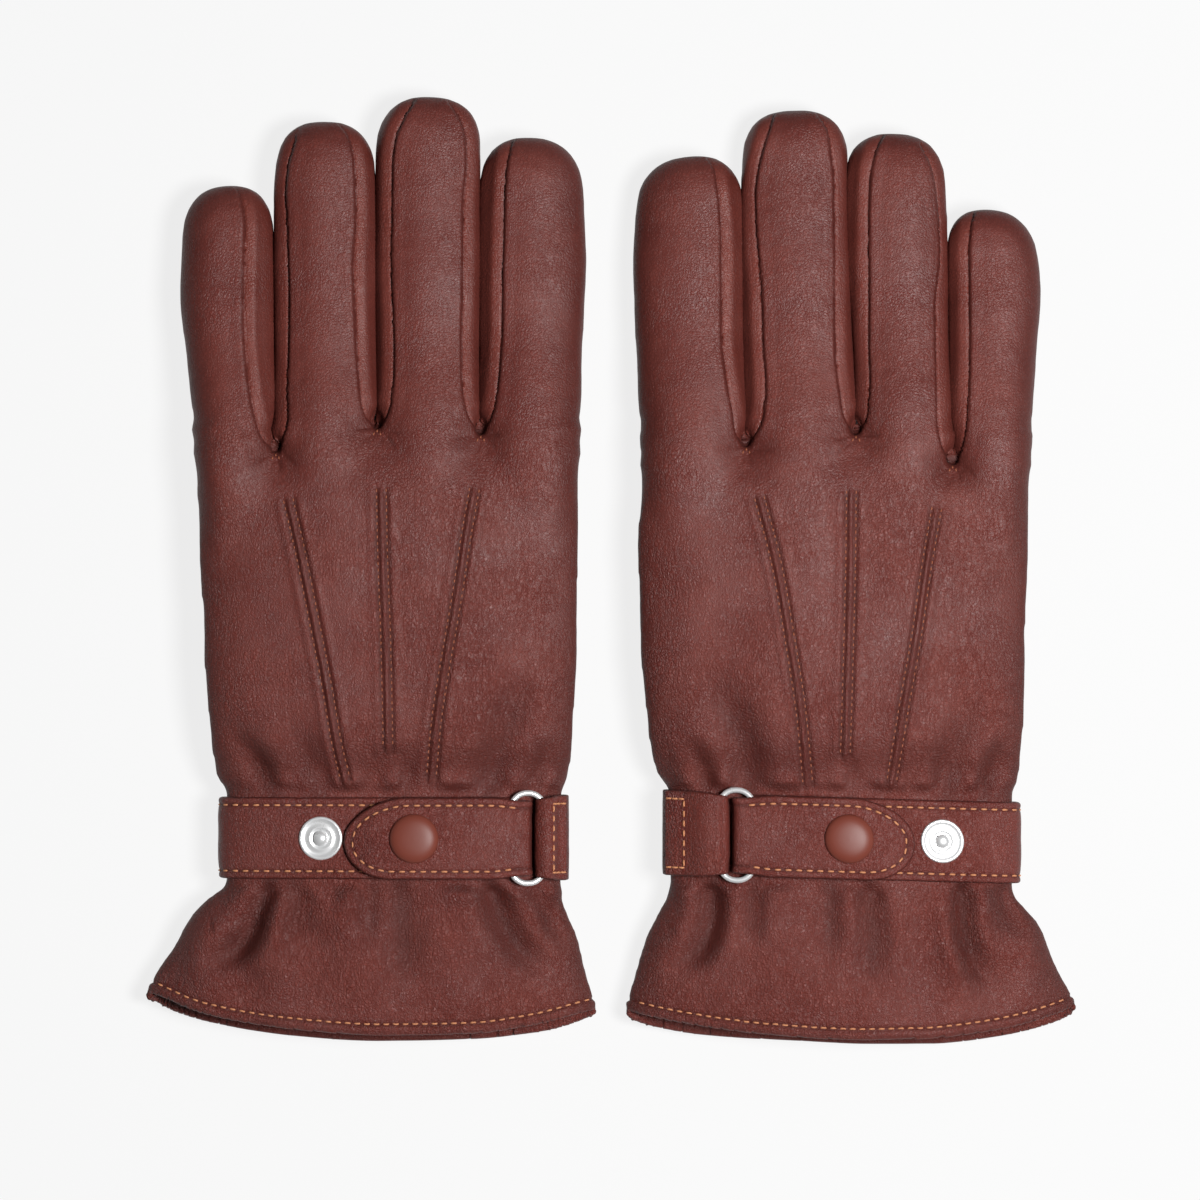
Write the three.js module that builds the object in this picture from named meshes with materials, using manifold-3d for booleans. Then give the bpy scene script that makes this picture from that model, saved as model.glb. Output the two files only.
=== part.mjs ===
// A pair of men's dress gloves in lambskin, lying palm down with the thumbs folded under the palms.
// Millimetres, +Z up, fingers along +Y. The origin is the centre of the pair's footprint on the table.
// Each glove is built in its own frame, with x counted from the middle of the wrist towards the index
// finger, and the right glove is that frame turned round by a mirroring group.
import * as THREE from "three";
import { mergeVertices } from "three/addons/utils/BufferGeometryUtils.js";
import Module from "manifold-3d";

const wasm = await Module();
wasm.setup();

// Leather and lining, measured inwards from the outside of the leather.
const LEATHER = 1.0;
const SEAM_GAP = 0.3;
const LINING_DEPTH = 1.3;
const LINING_DEPTH_IN_HAND = 2.2;
const LINING = 0.75;

// How high the glove lies: [y, underside, top]. The thumb lies under the palm's level stretch.
const LIE = [
  [-140, 0, 18],
  [-104, 0, 20],
  [-88, 3, 21],
  [-62, 3, 21],
  [-46, 9.3, 27],
  [22, 9.3, 27],
  [45, 6, 24],
  [80, 3.5, 20.5],
  [134, 2, 18],
];
const FOOTPRINT_SHIFT = 0.8;
const WRIST_START = -89;
const WRIST_END = -61;
const HAND_END = 36;
const HAND_STATIONS = [-140, -118, -104, WRIST_START, WRIST_END, -46, 22];
const HAND_ROUNDNESS = 2.7;
const FINGER_ROUNDNESS = 2.3;
const HAND_SIDES = 20;
const DIGIT_SIDES = 8;
const FINGER_START = 8;
const FINGER_SPACING = 0.8;
const FINGER_START_SHARE = 0.6;
const FINGERTIP = 15;
const FINGERTIP_DEGREES = [0, 40, 72];
const THUMB = { from: [27, -44], to: [14, 18], half: 12, top: 9, neck: [26, -29], neckHalf: [9, 12] };
const THUMB_START_SHARE = 0.82;
const THUMB_SHARES = [[0.18, 1], [0.78, 0.94], [0.92, 0.75]];
const THUMB_TIP_SHARE = 0.4;
const THUMB_ROUNDNESS = 3;
const BINDING = 3;
const BINDING_EXTRA = 0.9;

// Half the width of the strip between two fingers: at its point, at the crotch, above it, at the tips.
const FOURCHETTE = { point: 0.2, crotch: 3.8, root: 4.8, middle: 5.4, tip: 7 };
const FOURCHETTE_POINT = 6;
const FOURCHETTE_ROOT = 14;

// Cutting solids reach past the glove by these.
const BESIDE = 90;
const BEYOND = 150;
const BELOW = -20;
const ABOVE = 60;

// The wrist under the strap has one section all along the strap's width.
const STRAP_MIDDLE = -75;
const STRAP_WIDTH = 22.8;
const STRAP = 1.4;
const WRIST_Z = 12;
const WRIST_HALF_HEIGHT = 9;
const TAB_RISE = 4.2;
const KEEPER_RISE = 4.8;
const KEEPER_SEWN_DOWN = 1.95;
const TAB_END_RADIUS = 14;
const KEEPER_WIDTH = 24;
const ELASTIC = { width: 16, depth: 1.25, thickness: 0.6 };

// Where the straps end, in degrees round the wrist's section, and the elastic in facets of the hand.
const STRAP_SEWN_AT = 222;
const KEEPER_SEWN_AT = -42;
const KEEPER_TURN_END = 20;
const ELASTIC_FACETS = [13.5, 16.5];
const RISE_CHANGE = [0.35, 0.9];

// The oval ring that the strap turns back through, and the wire's clearance in the leather folds.
const RING = { length: 27, width: 11.2, wire: 0.8, rise: 2.95 };
const RING_BAR = RING.width / 2 - RING.wire;
const FOLD_WIDTH = 14.6;
const FOLD_CLEARANCE = 0.45;
const TAB_FOLD = [92, -75];
const KEEPER_FOLD = [80, 290];
const TAB_SHOULDER = 2.8;

// Snap fastener: a domed cap and its socket on the tab, studs and their posts on the strap.
const CAP_RADIUS = 6.85;
const CAP_HEIGHT = 2.4;
const CAP_EDGE = 0.6;
const CAP_STEM = 1.1;
const CAP_HOLE = 1.5;
const SOCKET = { radius: 6, bore: 2.7, thickness: 1.0 };
const STUD = { radius: 6, flange: 0.65, nub: 2.0, height: 1.3, bevel: 0.5, waist: 0.8 };
const POST = { barrel: 1.2, flange: 4, thickness: 0.45 };
const METAL_GAP = 0.25;
const TURNED_SIDES = 14;

// What differs between the two gloves: outline is [y, little finger side, index finger side].
const LEFT = {
  side: 1,
  centre: -60.85,
  outline: [
    [-140, -78, 64],
    [-118, -69, 56],
    [-104, -61.5, 52],
    [-89, -49.5, 46.5],
    [-60, -49, 49],
    [-40, -51.7, 50.4],
    [0, -53.9, 51.2],
    [36, -56, 52.1],
  ],
  wristHalf: 47.3,
  hem: [[-68.9, -117.7], [-3.9, -129.9], [56.6, -122.8]],
  fingers: {
    little: { base: -44.6, middle: -46.8, tip: -46.3, reach: 107.7, half: 12.2 },
    ring: { base: -18.7, middle: -19.2, tip: -17.4, reach: 125.9, half: 14.1 },
    middle: { base: 9.9, middle: 9.7, tip: 8.9, reach: 132.6, half: 14.5 },
    index: { base: 38.2, middle: 38.8, tip: 37.6, reach: 121, half: 14.3 },
  },
  ring: 37.5,
  cap: 5.9,
  stud: -20.2,
  tabEnd: -13.2,
};
const RIGHT = {
  side: -1,
  centre: 64.45,
  outline: [
    [-140, -73, 67],
    [-118, -64.3, 59.5],
    [-104, -57.5, 55.3],
    [-89, -48.2, 48.2],
    [-60, -49.1, 51.4],
    [-40, -50.8, 54.7],
    [0, -51.7, 56.7],
    [36, -53.5, 56.4],
  ],
  wristHalf: 48.4,
  hem: [[-65.9, -120.3], [-15.5, -132.6], [59.8, -124.5]],
  fingers: {
    little: { base: -42.2, middle: -43.3, tip: -41.8, reach: 100.9, half: 12 },
    ring: { base: -17.2, middle: -15.6, tip: -13.2, reach: 122.5, half: 14.1 },
    middle: { base: 11.5, middle: 13.6, tip: 13.6, reach: 128.9, half: 14.7 },
    index: { base: 41.5, middle: 43.1, tip: 42.1, reach: 116.1, half: 14.6 },
  },
  ring: 29.5,
  cap: -1.8,
  stud: -27.9,
  tabEnd: -19.7,
};

const MATERIALS = {
  leather: { color: 0x6e3b34, roughness: 0.5, metalness: 0 },
  gusset: { color: 0x7d4136, roughness: 0.5, metalness: 0 },
  lining: { color: 0x4a3a33, roughness: 0.95, metalness: 0 },
  elastic: { color: 0x2b2422, roughness: 0.9, metalness: 0 },
  nickel: { color: 0xd2d3d4, roughness: 0.2, metalness: 1 },
  enamel: { color: 0x7c4236, roughness: 0.3, metalness: 0 },
};

// ---- helpers ----

const lerp = THREE.MathUtils.lerp;
const rad = THREE.MathUtils.degToRad;

// Straight-line reading of a table whose rows start with y.
function rowAt(table, y) {
  const past = table.findIndex((row) => row[0] > y);
  const i = past === -1 ? table.length - 1 : Math.max(past, 1);
  const [low, high] = [table[i - 1], table[i]];
  const t = (y - low[0]) / (high[0] - low[0]);
  return low.map((value, k) => lerp(value, high[k], t));
}

// A superellipse's point at angle t and its outward normal, in its own plane.
function superellipse(halfX, halfZ, power, t) {
  const [c, s] = [Math.cos(t), Math.sin(t)];
  const x = halfX * Math.sign(c) * Math.abs(c) ** (2 / power);
  const z = halfZ * Math.sign(s) * Math.abs(s) ** (2 / power);
  const normal = new THREE.Vector2(
    (Math.sign(c) * Math.abs(x / halfX) ** (power - 1)) / halfX,
    (Math.sign(s) * Math.abs(z / halfZ) ** (power - 1)) / halfZ,
  ).normalize();
  return { point: new THREE.Vector2(x, z), normal };
}

function geometryFrom(positions, faces) {
  const geometry = new THREE.BufferGeometry();
  geometry.setAttribute("position", new THREE.Float32BufferAttribute(positions, 3));
  geometry.setIndex(faces);
  return geometry;
}

function solid(geometry) {
  const bare = geometry.clone();
  bare.deleteAttribute("normal");
  bare.deleteAttribute("uv");
  const merged = mergeVertices(bare, 1e-4);
  return new wasm.Manifold(
    new wasm.Mesh({
      numProp: 3,
      vertProperties: merged.attributes.position.array,
      triVerts: new Uint32Array(merged.index.array),
    }),
  );
}

function geometryOf(body) {
  const mesh = body.getMesh();
  return geometryFrom(mesh.vertProperties, Array.from(mesh.triVerts));
}

const union = (bodies) => bodies.reduce((all, body) => all.add(body));

// A closed skin over superellipse sections { x, y, z, halfX, halfZ } that follow each other in +Y.
// The sides are a multiple of four, so that a flat facet runs along the top and the underside.
function loft(sections, sides, power) {
  const facetHeight = Math.cos(Math.PI / sides) ** (2 / power);
  const positions = [];
  const faces = [];
  for (const { x, y, z, halfX, halfZ } of sections)
    for (let k = 0; k < sides; k++) {
      const { point } = superellipse(halfX, halfZ, power, ((k + 0.5) / sides) * 2 * Math.PI);
      positions.push(x + point.x, y, z + point.y / facetHeight);
    }
  const last = sections.length - 1;
  for (let i = 0; i < last; i++)
    for (let k = 0; k < sides; k++) {
      const [a, b] = [i * sides + k, i * sides + ((k + 1) % sides)];
      faces.push(a, a + sides, b + sides, a, b + sides, b);
    }
  const startCentre = positions.length / 3;
  positions.push(sections[0].x, sections[0].y, sections[0].z);
  positions.push(sections[last].x, sections[last].y, sections[last].z);
  for (let k = 0; k < sides; k++) {
    const next = (k + 1) % sides;
    faces.push(startCentre, k, next);
    faces.push(startCentre + 1, last * sides + next, last * sides + k);
  }
  return solid(geometryFrom(positions, faces));
}

// An outline in plan, as an upright prism through the whole glove.
function planPrism(points) {
  const shape = new THREE.Shape(points.map(([x, y]) => new THREE.Vector2(x, y)));
  const geometry = new THREE.ExtrudeGeometry(shape, { depth: ABOVE - BELOW, bevelEnabled: false });
  return solid(geometry.translate(0, 0, BELOW));
}

// An outline in the XZ plane, as a solid that runs along Y about a middle.
function acrossGlove(points, middle, width) {
  const basis = new THREE.Matrix4().makeBasis(
    new THREE.Vector3(1, 0, 0),
    new THREE.Vector3(0, 0, 1),
    new THREE.Vector3(0, -1, 0),
  );
  const geometry = new THREE.ExtrudeGeometry(new THREE.Shape(points), { depth: width, bevelEnabled: false });
  return solid(geometry.applyMatrix4(basis).translate(0, middle + width / 2, 0));
}

// ---- the glove's skins ----

// The hand and cuff, without digits, with its surface moved inwards by inset.
function handSolid(hand, inset) {
  const sections = [...HAND_STATIONS, HAND_END - inset].map((y) => {
    const [, under, top] = rowAt(LIE, y);
    const [, little, index] = rowAt(hand.outline, y);
    const atWrist = y === WRIST_START || y === WRIST_END;
    return {
      x: atWrist ? 0 : (little + index) / 2,
      y,
      z: atWrist ? WRIST_Z : (under + top) / 2,
      halfX: (atWrist ? hand.wristHalf : (index - little) / 2) - inset,
      halfZ: (atWrist ? WRIST_HALF_HEIGHT : (top - under) / 2) - inset,
    };
  });
  return loft(sections, HAND_SIDES, HAND_ROUNDNESS);
}

// One finger from inside the hand to its round tip.
function fingerSolid(finger, inset) {
  const round = FINGERTIP - inset;
  const shoulder = finger.reach - FINGERTIP;
  const halfX = finger.half - FINGER_SPACING / 2 - inset;
  const section = (y, x, share) => {
    const [, under, top] = rowAt(LIE, y);
    return { x, y, z: (under + top) / 2, halfX: halfX * share, halfZ: ((top - under) / 2 - inset) * share };
  };
  const middleY = (HAND_END + shoulder) / 2;
  const sections = [
    section(FINGER_START, finger.base, FINGER_START_SHARE),
    section(HAND_END + 6, finger.base, 1),
    section(middleY, finger.middle, 1),
  ];
  for (const degrees of FINGERTIP_DEGREES) {
    const x = lerp(finger.middle, finger.tip, degrees / 90);
    sections.push(section(shoulder + round * Math.sin(rad(degrees)), x, Math.cos(rad(degrees)) ** 0.8));
  }
  return loft(sections, DIGIT_SIDES, FINGER_ROUNDNESS);
}

// The thumb lies level under the palm and opens up into it through a short oval neck.
function thumbSolid(inset) {
  const [x0, y0] = THUMB.from;
  const [x1, y1] = THUMB.to;
  const section = (along, share) => ({
    x: lerp(x0, x1, along),
    y: lerp(y0, y1, along),
    z: THUMB.top / 2,
    halfX: (THUMB.half - inset) * share,
    halfZ: THUMB.top / 2 - inset,
  });
  const length = y1 - y0;
  const ends = inset / length;
  const sections = [
    section(ends, THUMB_START_SHARE),
    ...THUMB_SHARES.map(([along, share]) => section(along, share)),
    section(1 - ends, THUMB_TIP_SHARE),
  ];
  const tube = loft(sections, DIGIT_SIDES, THUMB_ROUNDNESS);
  const neck = [];
  for (let k = 0; k < 12; k++) {
    const angle = (k / 12) * 2 * Math.PI;
    neck.push(
      new THREE.Vector2(
        THUMB.neck[0] + (THUMB.neckHalf[0] - inset) * Math.cos(angle),
        THUMB.neck[1] + (THUMB.neckHalf[1] - inset) * Math.sin(angle),
      ),
    );
  }
  const neckShape = new THREE.ExtrudeGeometry(new THREE.Shape(neck), { depth: 9, bevelEnabled: false });
  return tube.add(solid(neckShape.translate(0, 0, THUMB.top / 2)));
}

function wholeGlove(hand, handInset, digitInset) {
  const fingers = Object.values(hand.fingers).map((finger) => fingerSolid(finger, digitInset));
  return union([handSolid(hand, handInset), ...fingers, thumbSolid(digitInset)]);
}

// ---- where the skins are cut into pattern pieces ----

// Everything on the finger side of the hem, which is an arc through three points, moved up by rise.
function aboveHem(hand, rise) {
  const [[x0, y0], [x1, y1], [x2, y2]] = hand.hem;
  const d = 2 * (x0 * (y1 - y2) + x1 * (y2 - y0) + x2 * (y0 - y1));
  const [q0, q1, q2] = hand.hem.map(([x, y]) => x * x + y * y);
  const cx = (q0 * (y1 - y2) + q1 * (y2 - y0) + q2 * (y0 - y1)) / d;
  const cy = (q0 * (x2 - x1) + q1 * (x0 - x2) + q2 * (x1 - x0)) / d;
  const radius = Math.hypot(x0 - cx, y0 - cy) - rise;
  const points = [];
  for (let k = 0; k <= 16; k++) {
    const x = lerp(-BESIDE, BESIDE, k / 16);
    points.push([x, cy - Math.sqrt(radius * radius - (x - cx) ** 2)]);
  }
  return planPrism([...points, [BESIDE, BEYOND], [-BESIDE, BEYOND]]);
}

// Everything above the side seams, which run halfway up the glove, moved up by rise.
function aboveSideSeams(rise) {
  const shape = new THREE.Shape(LIE.map(([y, under, top]) => new THREE.Vector2(y, (under + top) / 2 + rise)));
  shape.lineTo(BEYOND, ABOVE);
  shape.lineTo(-BEYOND, ABOVE);
  const basis = new THREE.Matrix4().makeBasis(
    new THREE.Vector3(0, 1, 0),
    new THREE.Vector3(0, 0, 1),
    new THREE.Vector3(1, 0, 0),
  );
  const geometry = new THREE.ExtrudeGeometry(shape, { depth: 2 * BESIDE, bevelEnabled: false });
  return solid(geometry.applyMatrix4(basis).translate(-BESIDE, 0, 0));
}

// The strip between two fingers: a narrow tongue from the crotch to past both fingertips.
function fourchettePrism(a, b, widen) {
  const crotch = (a.base + a.half + b.base - b.half) / 2;
  const middle = (a.middle + a.half + b.middle - b.half) / 2;
  const middleY = (HAND_END + Math.min(a.reach, b.reach)) / 2;
  const half = [
    [HAND_END - FOURCHETTE_POINT - widen, FOURCHETTE.point],
    [HAND_END, FOURCHETTE.crotch],
    [HAND_END + FOURCHETTE_ROOT, FOURCHETTE.root],
    [middleY, FOURCHETTE.middle],
    [BEYOND, FOURCHETTE.tip],
  ];
  const side = (sign) =>
    half.map(([y, w]) => [(y < middleY ? crotch : middle) + sign * (w + widen), y]);
  return planPrism([...side(1), ...side(-1).reverse()]);
}

function thumbPrism(widen) {
  const [x0, y0] = THUMB.from;
  const [x1, y1] = THUMB.to;
  const reach = THUMB.half + widen;
  const box = new THREE.BoxGeometry(2 * BEYOND, 2 * BEYOND, ABOVE);
  const top = THUMB.top + (SEAM_GAP + widen) / 2;
  return planPrism([
    [x0 - reach, y0 - widen],
    [x0 + reach, y0 - widen],
    [x1 + reach, y1 + widen],
    [x1 - reach, y1 + widen],
  ]).intersect(solid(box.translate(0, 0, top - ABOVE / 2)));
}

function patternPieces(hand) {
  const skin = wholeGlove(hand, 0, 0).subtract(wholeGlove(hand, LEATHER, LEATHER));
  const { little, ring, middle, index } = hand.fingers;
  const pairs = { little_ring: [little, ring], ring_middle: [ring, middle], middle_index: [middle, index] };
  const cuts = Object.values(pairs).map(([a, b]) => fourchettePrism(a, b, SEAM_GAP));
  const main = skin.intersect(aboveHem(hand, BINDING + SEAM_GAP)).subtract(union(cuts));
  const pieces = {
    back_panel: main.intersect(aboveSideSeams(SEAM_GAP / 2)),
    palm_panel: main.subtract(aboveSideSeams(-SEAM_GAP / 2)).subtract(thumbPrism(SEAM_GAP)),
    thumb_panel: skin.intersect(thumbPrism(0)),
  };
  for (const [name, [a, b]] of Object.entries(pairs))
    pieces["fourchette_" + name] = skin.intersect(fourchettePrism(a, b, 0));
  const mouth = wholeGlove(hand, 0, 0).subtract(wholeGlove(hand, LEATHER + BINDING_EXTRA, LEATHER));
  pieces.cuff_binding = mouth.intersect(aboveHem(hand, 0)).subtract(aboveHem(hand, BINDING));
  const innerSkin = wholeGlove(hand, LINING_DEPTH_IN_HAND, LINING_DEPTH).subtract(
    wholeGlove(hand, LINING_DEPTH_IN_HAND + LINING, LINING_DEPTH + LINING),
  );
  pieces.lining = innerSkin.intersect(aboveHem(hand, BINDING + SEAM_GAP));
  return pieces;
}

// ---- the wrist strap ----

// A point at a height over the wrist, at angle t of its section, in the XZ plane.
function overWrist(hand, t, height) {
  const { point, normal } = superellipse(hand.wristHalf, WRIST_HALF_HEIGHT, HAND_ROUNDNESS, t);
  return new THREE.Vector2(point.x + normal.x * height, WRIST_Z + point.y + normal.y * height);
}

// The angle on the top of the wrist of the spot that is at x when it stands at a height over it.
function angleAt(hand, x, height = 0) {
  let t = Math.PI / 2;
  let foot = x;
  for (let pass = 0; pass < 5; pass++) {
    t = Math.acos(Math.sign(foot) * Math.abs(foot / hand.wristHalf) ** (HAND_ROUNDNESS / 2));
    foot = x - superellipse(hand.wristHalf, WRIST_HALF_HEIGHT, HAND_ROUNDNESS, t).normal.x * height;
  }
  return t;
}

// A band over the wrist between two angles. Its underside's height runs from startRise to endRise.
function wristBand(hand, { from, to, startRise, endRise = startRise, thickness = STRAP, width, steps }) {
  const count = steps || Math.max(4, Math.ceil(Math.abs(to - from) / 0.16));
  const inner = [];
  const outer = [];
  for (let k = 0; k <= count; k++) {
    const t = lerp(from, to, k / count);
    const low = lerp(startRise, endRise, THREE.MathUtils.smoothstep(k / count, ...RISE_CHANGE));
    inner.push(overWrist(hand, t, low));
    outer.push(overWrist(hand, t, low + thickness));
  }
  return acrossGlove([...inner, ...outer.reverse()], STRAP_MIDDLE, width);
}

// The frame of a fitting on the wrist at x: its place at a height and its tilt about Y.
function seatAt(hand, x, height) {
  const t = angleAt(hand, x, height);
  const { normal } = superellipse(hand.wristHalf, WRIST_HALF_HEIGHT, HAND_ROUNDNESS, t);
  const place = overWrist(hand, t, height);
  return new THREE.Matrix4()
    .makeRotationY(Math.atan2(normal.x, normal.y))
    .setPosition(place.x, STRAP_MIDDLE, place.y);
}

// A turned part whose axis stands on the wrist at x. The profile is [radius, height] pairs.
function turned(hand, x, height, profile) {
  const points = profile.map(([r, h]) => new THREE.Vector2(r, h));
  const geometry = new THREE.LatheGeometry(points, TURNED_SIDES).rotateX(Math.PI / 2);
  return solid(geometry.applyMatrix4(seatAt(hand, x, height)));
}

// The place of one of the ring's two straight bars, on the index side (+1) or the tab side (-1).
function barAt(hand, sign) {
  const place = new THREE.Vector3(sign * RING_BAR, 0, 0).applyMatrix4(seatAt(hand, hand.ring, RING.rise));
  return new THREE.Vector2(place.x, place.z);
}

// The leather bent round a bar, from one angle to another, in degrees about the bar.
function foldRound(bar, from, to) {
  const inner = RING.wire + FOLD_CLEARANCE;
  const arc = (radius, start, end) => {
    const points = [];
    for (let k = 0; k <= 8; k++) {
      const angle = rad(lerp(start, end, k / 8));
      points.push(new THREE.Vector2(bar.x + radius * Math.cos(angle), bar.y + radius * Math.sin(angle)));
    }
    return points;
  };
  return acrossGlove([...arc(inner, from, to), ...arc(inner + STRAP, to, from)], STRAP_MIDDLE, FOLD_WIDTH);
}

// A wire swept round two straight bars and two half-circle ends.
function ovalRing(hand) {
  const straight = RING.length / 2 - RING.wire - RING_BAR;
  const path = [];
  for (const end of [1, -1])
    for (let k = 0; k <= 6; k++) {
      const angle = rad((end > 0 ? 0 : 180) + k * 30);
      const out = new THREE.Vector2(Math.cos(angle), Math.sin(angle));
      path.push({ at: new THREE.Vector2(out.x * RING_BAR, end * straight + out.y * RING_BAR), out });
    }
  const sides = 6;
  const positions = [];
  const faces = [];
  path.forEach(({ at, out }, i) => {
    const next = (i + 1) % path.length;
    for (let k = 0; k < sides; k++) {
      const angle = (k / sides) * 2 * Math.PI;
      const reach = RING.wire * Math.cos(angle);
      positions.push(at.x + out.x * reach, at.y + out.y * reach, RING.wire * Math.sin(angle));
      const [a, b] = [i * sides + k, i * sides + ((k + 1) % sides)];
      const [c, d] = [next * sides + k, next * sides + ((k + 1) % sides)];
      faces.push(a, c, d, a, d, b);
    }
  });
  return solid(geometryFrom(positions, faces).applyMatrix4(seatAt(hand, hand.ring, RING.rise)));
}

// A post's barrel and foot, with room round it when it is used to cut the strap.
function postSolid(hand, x, room) {
  return turned(hand, x, SEAM_GAP, [
    [0, -room],
    [POST.flange + room, -room],
    [POST.flange + room, POST.thickness + room],
    [POST.barrel + room, POST.thickness + room],
    [POST.barrel + room, STRAP + room],
    [0, STRAP + room],
  ]);
}

// The strap is sewn under the little finger's side of the wrist and stops short of the ring.
function closureStrap(hand) {
  const stop = barAt(hand, -1).x - RING.wire - FOLD_CLEARANCE - STRAP - 0.5;
  const band = wristBand(hand, {
    from: angleAt(hand, stop, SEAM_GAP),
    to: rad(STRAP_SEWN_AT),
    startRise: SEAM_GAP,
    width: STRAP_WIDTH,
  });
  return [hand.cap, hand.stud].reduce((strap, x) => strap.subtract(postSolid(hand, x, SEAM_GAP)), band);
}

// The strap's free end, turned back round the ring's bar, with its round end over the strap. It is
// narrow where it passes the ring, so that it can turn over past the ring's round ends.
function closureTab(hand) {
  const bar = barAt(hand, -1);
  const shoulder = bar.x - TAB_SHOULDER;
  const outline = [];
  for (let k = 0; k <= 10; k++) {
    const angle = rad(lerp(90, 270, k / 10));
    const x = hand.tabEnd + TAB_END_RADIUS * (1 + Math.cos(angle));
    outline.push([x, STRAP_MIDDLE + (STRAP_WIDTH / 2) * Math.sin(angle)]);
  }
  const [low, high] = [STRAP_MIDDLE - STRAP_WIDTH / 2, STRAP_MIDDLE + STRAP_WIDTH / 2];
  const [neckLow, neckHigh] = [STRAP_MIDDLE - FOLD_WIDTH / 2, STRAP_MIDDLE + FOLD_WIDTH / 2];
  outline.push([shoulder, low], [shoulder, neckLow], [BESIDE, neckLow]);
  outline.push([BESIDE, neckHigh], [shoulder, neckHigh], [shoulder, high]);
  const band = wristBand(hand, {
    from: angleAt(hand, bar.x, TAB_RISE),
    to: angleAt(hand, hand.tabEnd - 2, TAB_RISE),
    startRise: TAB_RISE,
    width: STRAP_WIDTH + 2,
  }).intersect(planPrism(outline));
  const capHole = turned(hand, hand.cap, TAB_RISE, [
    [0, -1],
    [CAP_HOLE, -1],
    [CAP_HOLE, STRAP + 1],
    [0, STRAP + 1],
  ]);
  return band.add(foldRound(bar, ...TAB_FOLD)).subtract(capHole);
}

// A short strap folded round the ring's other bar. Its lower layer runs round to the palm side.
function keeperLoop(hand) {
  const bar = barAt(hand, 1);
  const upper = wristBand(hand, {
    from: angleAt(hand, bar.x, KEEPER_RISE),
    to: rad(KEEPER_TURN_END),
    startRise: KEEPER_RISE,
    endRise: KEEPER_SEWN_DOWN,
    width: KEEPER_WIDTH,
  });
  const lower = wristBand(hand, {
    from: angleAt(hand, bar.x - 1, SEAM_GAP),
    to: rad(KEEPER_SEWN_AT),
    startRise: SEAM_GAP,
    width: KEEPER_WIDTH,
  });
  return union([upper, lower, foldRound(bar, ...KEEPER_FOLD)]);
}

function elasticBand(hand) {
  const step = (2 * Math.PI) / HAND_SIDES;
  return wristBand(hand, {
    from: ELASTIC_FACETS[0] * step,
    to: ELASTIC_FACETS[1] * step,
    steps: 3,
    startRise: -ELASTIC.depth - ELASTIC.thickness,
    thickness: ELASTIC.thickness,
    width: ELASTIC.width,
  });
}

function domedCap(hand) {
  const profile = [[0, -STRAP], [CAP_STEM, -STRAP], [CAP_STEM, 0], [CAP_RADIUS, 0]];
  for (let k = 0; k <= 4; k++) {
    const angle = rad(k * 22.5);
    profile.push([CAP_RADIUS * Math.cos(angle), CAP_EDGE + (CAP_HEIGHT - CAP_EDGE) * Math.sin(angle)]);
  }
  profile[profile.length - 1][0] = 0;
  return turned(hand, hand.cap, TAB_RISE + STRAP + METAL_GAP, profile);
}

function socketRing(hand) {
  const { radius, bore, thickness } = SOCKET;
  const profile = [[bore, 0], [radius, 0], [radius, thickness], [bore, thickness], [bore, 0]];
  return turned(hand, hand.cap, TAB_RISE - METAL_GAP - thickness, profile);
}

function studSolid(hand, x) {
  const top = STUD.flange + STUD.height;
  return turned(hand, x, SEAM_GAP + STRAP + METAL_GAP, [
    [0, 0],
    [STUD.radius, 0],
    [STUD.radius, STUD.flange - STUD.bevel / 2],
    [STUD.radius - STUD.bevel, STUD.flange],
    [STUD.nub * STUD.waist, STUD.flange],
    [STUD.nub, top - STUD.bevel],
    [STUD.nub * STUD.waist, top],
    [0, top],
  ]);
}

// ---- the pair ----

function gloveGroup(hand, name) {
  const pieces = {
    ...patternPieces(hand),
    wrist_elastic: elasticBand(hand),
    closure_strap: closureStrap(hand),
    closure_tab: closureTab(hand),
    keeper_loop: keeperLoop(hand),
    oval_ring: ovalRing(hand),
    snap_cap: domedCap(hand),
    snap_socket: socketRing(hand),
    snap_stud_inner: studSolid(hand, hand.cap),
    snap_stud_outer: studSolid(hand, hand.stud),
    stud_post_inner: postSolid(hand, hand.cap, 0),
    stud_post_outer: postSolid(hand, hand.stud, 0),
  };
  const finishes = { lining: "lining", wrist_elastic: "elastic", snap_cap: "enamel" };
  const group = new THREE.Group();
  for (const [piece, body] of Object.entries(pieces)) {
    let finish = finishes[piece] || "leather";
    if (piece.startsWith("fourchette")) finish = "gusset";
    if (/ring$|socket|stud/.test(piece) && !piece.startsWith("fourchette")) finish = "nickel";
    const mesh = new THREE.Mesh(geometryOf(body), new THREE.MeshStandardMaterial(MATERIALS[finish]));
    mesh.name = name + "_" + piece;
    group.add(mesh);
  }
  group.position.x = hand.centre;
  group.scale.x = hand.side;
  return group;
}

const gloves = new THREE.Group();
gloves.position.y = FOOTPRINT_SHIFT;
gloves.add(gloveGroup(LEFT, "left"), gloveGroup(RIGHT, "right"));
export default gloves;
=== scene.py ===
import math

import bpy
import numpy as np
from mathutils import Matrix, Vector, bvhtree


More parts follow.
